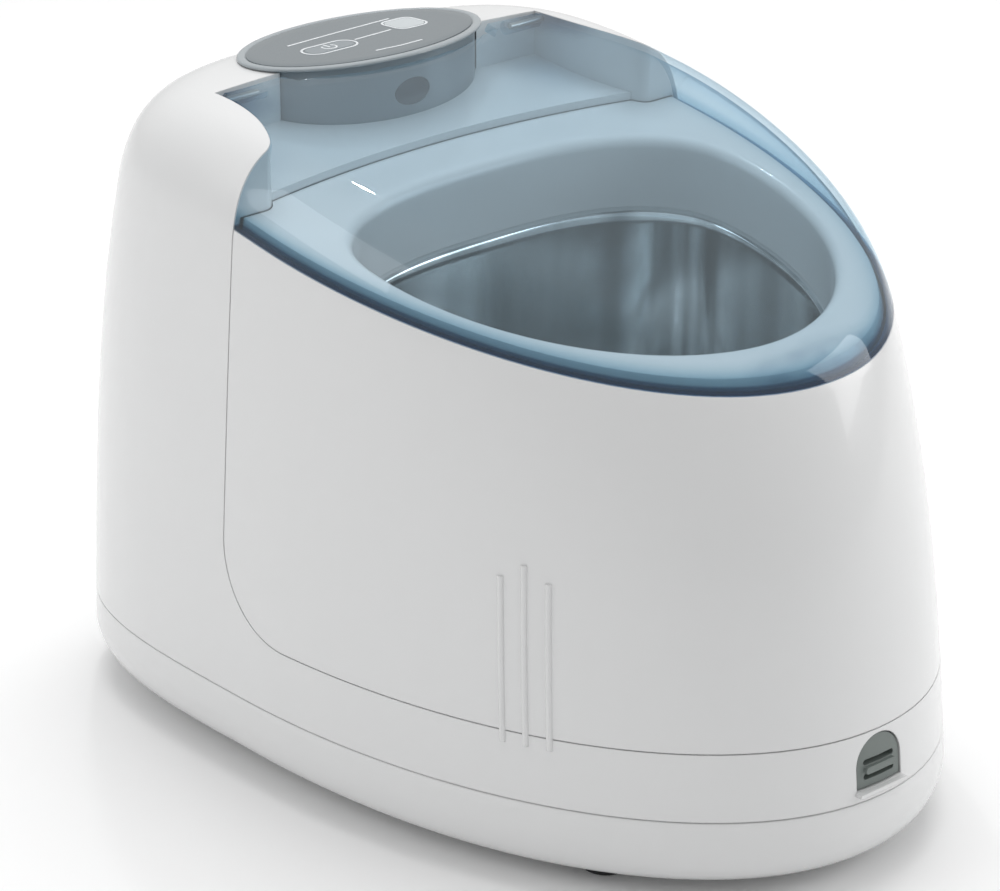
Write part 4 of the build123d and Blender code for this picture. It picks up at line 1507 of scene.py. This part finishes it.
@dataclass
class Bath:
    """The deck with its collar, and the drawn steel tank.

    Args:
        finishes: The materials.
        form: The outer form.
        seams: Where the shells part.
        mouth: The opening over the tank.
        deck_inset: How far inside the outer form the deck ends.
        deck_thick: How far the deck reaches under the lid's seam.
        rim_drop: The tank's rim under the lid's seam.
        rim_lap: The gap between the collar's foot and the rim.
        lip_back: The thickness of the collar's wall.
        lip_round: The radius of the collar's lip.
        lip_width: How far out from the mouth the lip meets the deck.
        tank_inset: How far inside the mouth the tank's wall stands.
        tank_round: The radius round the tank's floor.
        floor_z: The tank's floor.
        steel: The thickness of the sheet.
        flange: How far out from the mouth the tank's flange reaches.
        flange_turn: How far the inside of the sheet has turned out at the rim.
    """

    finishes: Finishes
    form: BodyForm = field(default_factory=BodyForm)
    seams: Seams = field(default_factory=Seams)
    mouth: Mouth = field(default_factory=Mouth)
    deck_inset: float = 3.6
    deck_thick: float = 3.0
    rim_drop: float = 24.5
    rim_lap: float = 1.5
    lip_back: float = 2.2
    lip_round: float = 4.0
    lip_width: float = 7.0
    tank_inset: float = 1.5
    tank_round: float = 15.0
    floor_z: float = 78.0
    steel: float = 1.0
    flange: float = 2.5
    flange_turn: float = 0.35

    def lip(self) -> bpy.types.Object:
        """The collar: a rounded lip at the deck and a wall down to the tank's rim."""
        top, under, foot = DECK_RISE, DECK_RISE - self.deck_thick, self.rim_lap - self.rim_drop
        profile = [(self.lip_width, under), (self.lip_width, top)]
        for t in np.linspace(0, pi / 2, 9):
            profile.append((self.lip_round * (1 - sin(t)), top - self.lip_round * (1 - cos(t))))
        profile += [(0.0, h) for h in np.linspace(top - self.lip_round, foot, 8)[1:]]
        profile += [(self.lip_back, foot), (self.lip_back, under)]
        rings = [self.mouth.ring(out, lambda y, up=up: LID_SEAM.height(y) + up) for out, up in profile]
        return loft("collar", rings, wrap=True)

    def deck(self) -> bpy.types.Object:
        """Build the white deck round the mouth."""
        body = self.form.skin("tank_deck_plate", self.deck_inset)
        carve(body, LID_SEAM.above(-self.deck_thick), Carve.KEEP)
        carve(body, LID_SEAM.above(DECK_RISE), Carve.CUT)
        carve(body, self.seams.open_top(SEAM, HINGE_Y), Carve.KEEP)
        carve(body, deck_reach(0.0), Carve.KEEP)
        points, out = self.mouth.outline()
        hole = [tuple(p) for p in points + out * (self.lip_width - 0.02)]
        carve(body, prism(hole, Along.Z, 90.0, FAR), Carve.CUT)
        made = join_meshes("tank_deck_plate", [body, self.lip()])
        finish_mesh(made)
        return dress(made, self.finishes["white_plastic"], "root", "white_plastic", "tank_deck")

    def rim(self, y: np.ndarray) -> np.ndarray:
        """The height of the tank's rim at y."""
        return LID_SEAM.height(y) - self.rim_drop

    def sheet(self, outer: bool) -> list[np.ndarray]:
        """One side of the tank's sheet.

        Args:
            outer: True for the outside.

        Returns:
            Its rings, from the edge of the floor up to the flange.
        """
        grown_by = self.steel if outer else 0.0
        wall = grown_by - self.tank_inset
        turned = self.steel if outer else self.flange_turn
        low_z = self.floor_z + self.tank_round
        rings = []
        for t in np.linspace(0, pi / 2, 12):
            inward = wall - self.tank_round * (1 - sin(t))
            level = low_z - (self.tank_round + grown_by) * cos(t)
            rings.append(self.mouth.ring(inward, lambda y, level=level: level))
        for t in np.linspace(0, 1, 22)[1:]:
            rings.append(
                self.mouth.ring(wall, lambda y, t=t: low_z + (self.rim(y) - grown_by - 0.6 - low_z) * t)
            )
        rings.append(self.mouth.ring(wall + turned, lambda y: self.rim(y) - grown_by - 0.1))
        rings.append(self.mouth.ring(self.flange, lambda y: self.rim(y) - grown_by))
        return rings

    def floor(self, edge: np.ndarray, hub: np.ndarray) -> list[np.ndarray]:
        """One side of the tank's floor.

        Args:
            edge: The ring that it starts from.
            hub: Its middle.

        Returns:
            Its rings, from the middle out.
        """
        return [hub + (edge - hub) * share for share in (0.15, 0.4, 0.7)]

    def tank(self) -> bpy.types.Object:
        """Build the drawn tank with its flange and rounded floor."""
        inner, outside = self.sheet(False), self.sheet(True)
        middle_y = self.mouth.centre_y - 20.0
        top = np.array([0.0, middle_y, self.floor_z])
        under = np.array([0.0, middle_y, self.floor_z - self.steel])
        lower = [*self.floor(outside[0], under), *outside]
        upper = [*self.floor(inner[0], top), *inner]
        made = loft("steel_tank", [*lower, *reversed(upper)], low=under, high=top)
        finish_mesh(made, 40.0)
        return dress(made, self.finishes["polished_steel"], "root", "polished_steel", "tank")

    def build(self) -> list[bpy.types.Object]:
        """Build and dress the deck and the tank."""
        return [self.deck(), self.tank()]


@dataclass
class ControlHead:
    """The oval control head: column, tilted panel with its bevelled ring, and the printed marks.

    Args:
        finishes: The materials.
        centre_y: The head's middle.
        top: The panel's height there.
        slope: How far the panel falls for each millimetre towards the rear.
        half: The panel's half sizes.
        thick: The panel's thickness at its edge.
        ring_width: The width of the bevelled ring.
        step: How deep the groove inside the ring is.
        face_drop: How far the face sits under the panel's plane.
        column_wall: The thickness of the column's wall.
        floor_rise: The column's foot over the lid's seam.
        window: The half sizes of the window in the column.
        window_z: The window's middle.
        key_at: The key's middle.
        mark_radius: The radius of the power mark.
        mark_lift: How far the power mark stands over the panel's plane, on top of the key.
        print_lift: The same for the other marks.
        key_frame: The corners of the frame round the key.
        lens_frame: The corners of the frame round the display window.
        accents: The bowed accent lines.
        count: How many points a ring has.
    """

    finishes: Finishes
    centre_y: float = HEAD_Y
    top: float = 236.4
    slope: float = 0.06
    half: Pair = (51.5, 32.0)
    thick: float = 1.4
    ring_width: float = 3.4
    step: float = 0.5
    face_drop: float = 0.02
    column_wall: float = 2.2
    floor_rise: float = 6.5
    window: Pair = (8.1, 5.1)
    window_z: float = 223.0
    key_at: Pair = (-17.0, 98.0)
    mark_radius: float = 2.7
    mark_lift: float = 0.25
    print_lift: float = 0.06
    key_frame: tuple[Pair, Pair] = ((-28.4, 92.6), (-5.6, 103.4))
    lens_frame: tuple[Pair, Pair] = ((16.6, 97.0), (30.4, 111.0))
    accents: tuple[tuple[Pair, ...], ...] = (
        ((-26.0, 111.0), (0.0, 112.6), (24.0, 113.5)),
        ((-9.0, 81.5), (2.0, 80.2), (12.0, 80.5)),
        ((-4.0, 99.4), (14.0, 100.4)),
    )
    count: int = 144

    def panel_height(self, y: np.ndarray | float) -> np.ndarray | float:
        """The panel plane's height at y."""
        return self.top - self.slope * (y - self.centre_y)

    def plan(self, half: Pair, inward: float) -> tuple[np.ndarray, np.ndarray]:
        """An oval in plan.

        Args:
            half: Its half sizes.
            inward: How far it is drawn in.

        Returns:
            Its points' x and y.
        """
        a = 2 * pi * np.arange(self.count) / self.count
        return (half[0] - inward) * np.cos(a), self.centre_y + (half[1] - inward) * np.sin(a)

    def ring(self, inward: float, drop: float) -> np.ndarray:
        """A ring on the panel.

        Args:
            inward: How far it is drawn in from the edge.
            drop: How far it sits under the panel's plane.

        Returns:
            The ring's points.
        """
        x, y = self.plan(self.half, inward)
        return np.column_stack([x, y, self.panel_height(y) - drop])

    def middle(self, drop: float) -> Triple:
        """The panel's middle, that far under its plane."""
        return (0.0, self.centre_y, float(self.panel_height(self.centre_y)) - drop)

    def bezel(self) -> bpy.types.Object:
        """Build the panel's plate with its bevelled ring."""
        profile = [(0.3, self.thick), (0.0, 1.0), (0.1, 0.55), (0.5, 0.2), (1.0, 0.08)]
        profile += [(self.ring_width - 1.2, 0.0), (self.ring_width - 0.6, 0.1), (self.ring_width, self.step)]
        rings = [self.ring(inward, drop) for inward, drop in profile]
        made = loft("panel_bezel", rings, low=self.middle(self.thick), high=self.middle(self.step))
        finish_mesh(made, 25.0)
        return dress(made, self.finishes["bezel_plastic"], "root", "grey_plastic", "control_panel")

    def face(self) -> bpy.types.Object:
        """Build the darker face inside the ring."""
        edge = self.ring_width + 0.15
        flat = self.face_drop
        rings = [self.ring(edge, self.step), self.ring(edge, 0.12), self.ring(edge + 0.3, flat)]
        rings += [self.ring(edge + 0.3 + inward, flat) for inward in (4.0, 10.0, 16.0, 21.0)]
        made = loft("panel_face", rings, low=self.middle(self.step), high=self.middle(flat))
        finish_mesh(made, 25.0)
        return dress(made, self.finishes["panel_plastic"], "root", "grey_plastic")

    def column(self) -> bpy.types.Object:
        """Build the oval column under the panel."""
        sides = []
        for wall in (0.0, self.column_wall):
            x, y = self.plan(COLUMN_HALF, wall)
            low = LID_SEAM.height(y) + self.floor_rise
            high = self.panel_height(y) - self.thick - 0.05
            shares = (0.0, 0.02, 0.5, 0.98, 1.0)
            sides.append([np.column_stack([x, y, low + (high - low) * t]) for t in shares])
        made = loft("head_column", [*sides[0], *reversed(sides[1])], wrap=True)
        window = oval(*self.window, (0.0, self.window_z), 48)
        carve(made, prism(window, Along.Y, self.centre_y - 60.0, self.centre_y), Carve.CUT)
        finish_mesh(made)
        return dress(made, self.finishes["grey_plastic"], "root", "grey_plastic", "control_column")

    def on_panel(self, points: Sequence[Pair], lift: float) -> np.ndarray:
        """Points on the panel, lifted off its plane."""
        return np.array([(x, y, self.panel_height(y) + lift) for x, y in points])

    def print_lines(self, name: str, lines: list[np.ndarray], width: float, body: str) -> bpy.types.Object:
        """Print strokes as one piece.

        Args:
            name: The piece's name.
            lines: The middle line of each stroke.
            width: The width of the strokes in metres.
            body: The CAD body that the piece rides on.

        Returns:
            The dressed piece.
        """
        white = self.finishes["printed_white"]
        made = grow(name, print_tree(), lines_mesh(name + "_lines", lines), white, Width=width)
        return dress(made, white, body, "label_film")

    def marks(self) -> bpy.types.Object:
        """Print the frames and the accent lines."""
        frames = [round_box(*self.key_frame, 5.3), round_box(*self.lens_frame, 3.8)]
        strokes = [*self.accents, *([*frame, frame[0]] for frame in frames)]
        lines = [self.on_panel(stroke, self.print_lift) for stroke in strokes]
        return self.print_lines("panel_marks", lines, 0.0009, "root")

    def power_mark(self) -> bpy.types.Object:
        """Print the generic power mark on the key, which it moves with."""
        x, y = self.key_at
        reach = self.mark_radius
        symbol = [(x + reach * sin(t), y + reach * cos(t)) for t in np.linspace(0.25 * pi, 1.75 * pi, 26)]
        strokes = [symbol, [(x, y - 0.4), (x, y + 3.6)]]
        lines = [self.on_panel(stroke, self.mark_lift) for stroke in strokes]
        return self.print_lines("power_mark", lines, 0.0008, "power_key")

    def build(self) -> list[bpy.types.Object]:
        """Build and dress the control head."""
        return [self.bezel(), self.face(), self.column(), self.marks(), self.power_mark()]


@dataclass
class InnerParts:
    """The CAD nodes that stay as they are and only take a finish."""

    finishes: Finishes
    by_finish: dict[str, tuple[str, ...]] = field(
        default_factory=lambda: {
            "zinc_steel": ("base_screws", "board_screws", "clamp_screws", "hinge_pins", "latch_spring"),
            "cast_aluminium": ("clamp_ring", "heater_plate"),
            "element_steel": ("heater_element", "temperature_sensor"),
            "brown_moulding": ("thermostat", "dock_socket", "unit_plug"),
            "black_plastic": ("thermal_cutout", "mains_inlet", "button_switch", "power_parts"),
            "silicone_seal": ("tank_gasket",),
            "felt": ("insulation_jacket",),
            "lead_sleeve": ("heater_leads", "mains_leads"),
            "inner_plastic": ("unit_tray", "dock_panel", "board_posts", "board_standoffs", "latch_guide"),
            "contact_brass": ("inlet_pins",),
            "board_green": ("head_board", "power_board"),
            "label_film": ("rating_plate", "ribbon_cable"),
            "grey_plastic": ("power_button", "terminal_block"),
            "smoked_lens": ("column_window",),
            "pale_lens": ("display_window", "indicator_lamp"),
        }
    )

    def build(self, nodes: dict[str, bpy.types.Object]) -> list[bpy.types.Object]:
        """Give each node its finish.

        Args:
            nodes: The frame's CAD nodes by name.

        Returns:
            The dressed nodes.
        """
        dressed = []
        for finish, names in self.by_finish.items():
            for name in names:
                node = nodes[name]
                if not node.material_slots:
                    node.data.materials.append(None)
                for slot in node.material_slots:
                    slot.material = self.finishes[finish]
                dressed.append(node)
        LOG.info("%d inner nodes dressed", len(dressed))
        return dressed


@dataclass(frozen=True)
class Lamp:
    """A soft square lamp.

    Args:
        name: Its name.
        at: Where it hangs, in metres.
        size: Its width in metres.
        power: Its power in watts.
        in_gloss: False hides it from reflections.
    """

    name: str
    at: Triple
    size: float
    power: float
    in_gloss: bool = True


@dataclass
class Studio:
    """The pale floor, the soft lamps and the camera.

    Args:
        eye: Where the camera stands, in metres.
        target: What it points at, in metres.
        lens: Its focal length.
        shift: How far its frame is shifted, as a share of its width.
        floor_half: Half the width of the floor.
        sky_power: How bright the even light from all round is.
        middle: What the lamps point at, in metres.
        lamps: The lamps.
    """

    eye: Triple = (-0.8491, -0.9302, 0.6450)
    target: Triple = (0.0, 0.0295, 0.0979)
    lens: float = 137.3
    shift: Pair = (0.0095, -0.0009)
    floor_half: float = 30000.0
    sky_power: float = 0.58
    middle: Triple = (0.0, 0.0, 0.12)
    lamps: tuple[Lamp, ...] = (
        Lamp("top_soft", (0.25, 0.3, 1.6), 1.3, 15.0, in_gloss=False),
        Lamp("right_soft", (1.3, -0.9, 0.7), 0.9, 7.0),
        Lamp("left_rear_soft", (-1.3, 0.7, 0.9), 0.9, 4.0),
        Lamp("spark", (0.35, 0.62, 1.25), 0.05, 1.2),
    )

    def place(self, made: bpy.types.Object, at: Triple, aim: Triple) -> None:
        """Stand a lamp or the camera in the scene.

        Args:
            made: The object.
            at: Where it stands, in metres.
            aim: What it points at, in metres.
        """
        made.location = at
        made.rotation_mode = "QUATERNION"
        made.rotation_quaternion = (Vector(aim) - Vector(at)).to_track_quat("-Z", "Y")
        bpy.context.scene.collection.objects.link(made)

    def floor(self) -> None:
        """Lay the pale floor."""
        half = self.floor_half
        corners = np.array([(-half, -half, 0), (half, -half, 0), (half, half, 0), (-half, half, 0)])
        made = link_mesh("floor", corners, [[0, 1, 2, 3]])
        shader = Shader("pale_floor")
        tone = shader.blend(shader.noise(3.0, 2.0), (0.93, 0.93, 0.93), (0.915, 0.915, 0.915))
        surface = shader.node("ShaderNodeBsdfPrincipled", {"Base Color": tone, "Roughness": 0.9})
        made.data.materials.append(shader.done(surface.outputs[0]))

    def sky(self) -> None:
        """Light the studio evenly from all round."""
        world = bpy.data.worlds.new("studio")
        world.use_nodes = True
        back = world.node_tree.nodes["Background"]
        back.inputs["Color"].default_value = (1.0, 1.0, 1.0, 1.0)
        back.inputs["Strength"].default_value = self.sky_power
        bpy.context.scene.world = world

    def hang(self, lamp: Lamp) -> None:
        """Hang one lamp."""
        data = bpy.data.lights.new(lamp.name, "AREA")
        data.shape = "SQUARE"
        data.size = lamp.size
        data.energy = lamp.power
        made = bpy.data.objects.new(lamp.name, data)
        made.visible_glossy = lamp.in_gloss
        self.place(made, lamp.at, self.middle)

    def camera(self) -> None:
        """Set the camera where the object was looked at from."""
        data = bpy.data.cameras.new("camera")
        data.lens = self.lens
        data.sensor_width = 36.0
        data.shift_x, data.shift_y = self.shift
        data.clip_start, data.clip_end = 0.05, 100.0
        made = bpy.data.objects.new("camera", data)
        self.place(made, self.eye, self.target)
        bpy.context.scene.camera = made

    def build(self) -> None:
        """Set up the whole studio."""
        self.floor()
        self.sky()
        self.camera()
        for lamp in self.lamps:
            self.hang(lamp)
        bpy.context.scene.view_settings.view_transform = "Standard"


def main(frame: dict) -> None:
    """Build the bath over its frame.
    """
    logging.basicConfig(level=logging.INFO, format="%(name)s: %(message)s")
    finishes = Finishes()
    Studio().build()
    InnerParts(finishes).build(frame["nodes"])
    for part in (Housing(finishes), Bath(finishes), ControlHead(finishes), Latch(finishes), Lid(finishes)):
        made = part.build()
        LOG.info("%s: %s", type(part).__name__, ", ".join(piece.name for piece in made))


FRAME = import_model()

if __name__ == "__main__":
    main(FRAME)
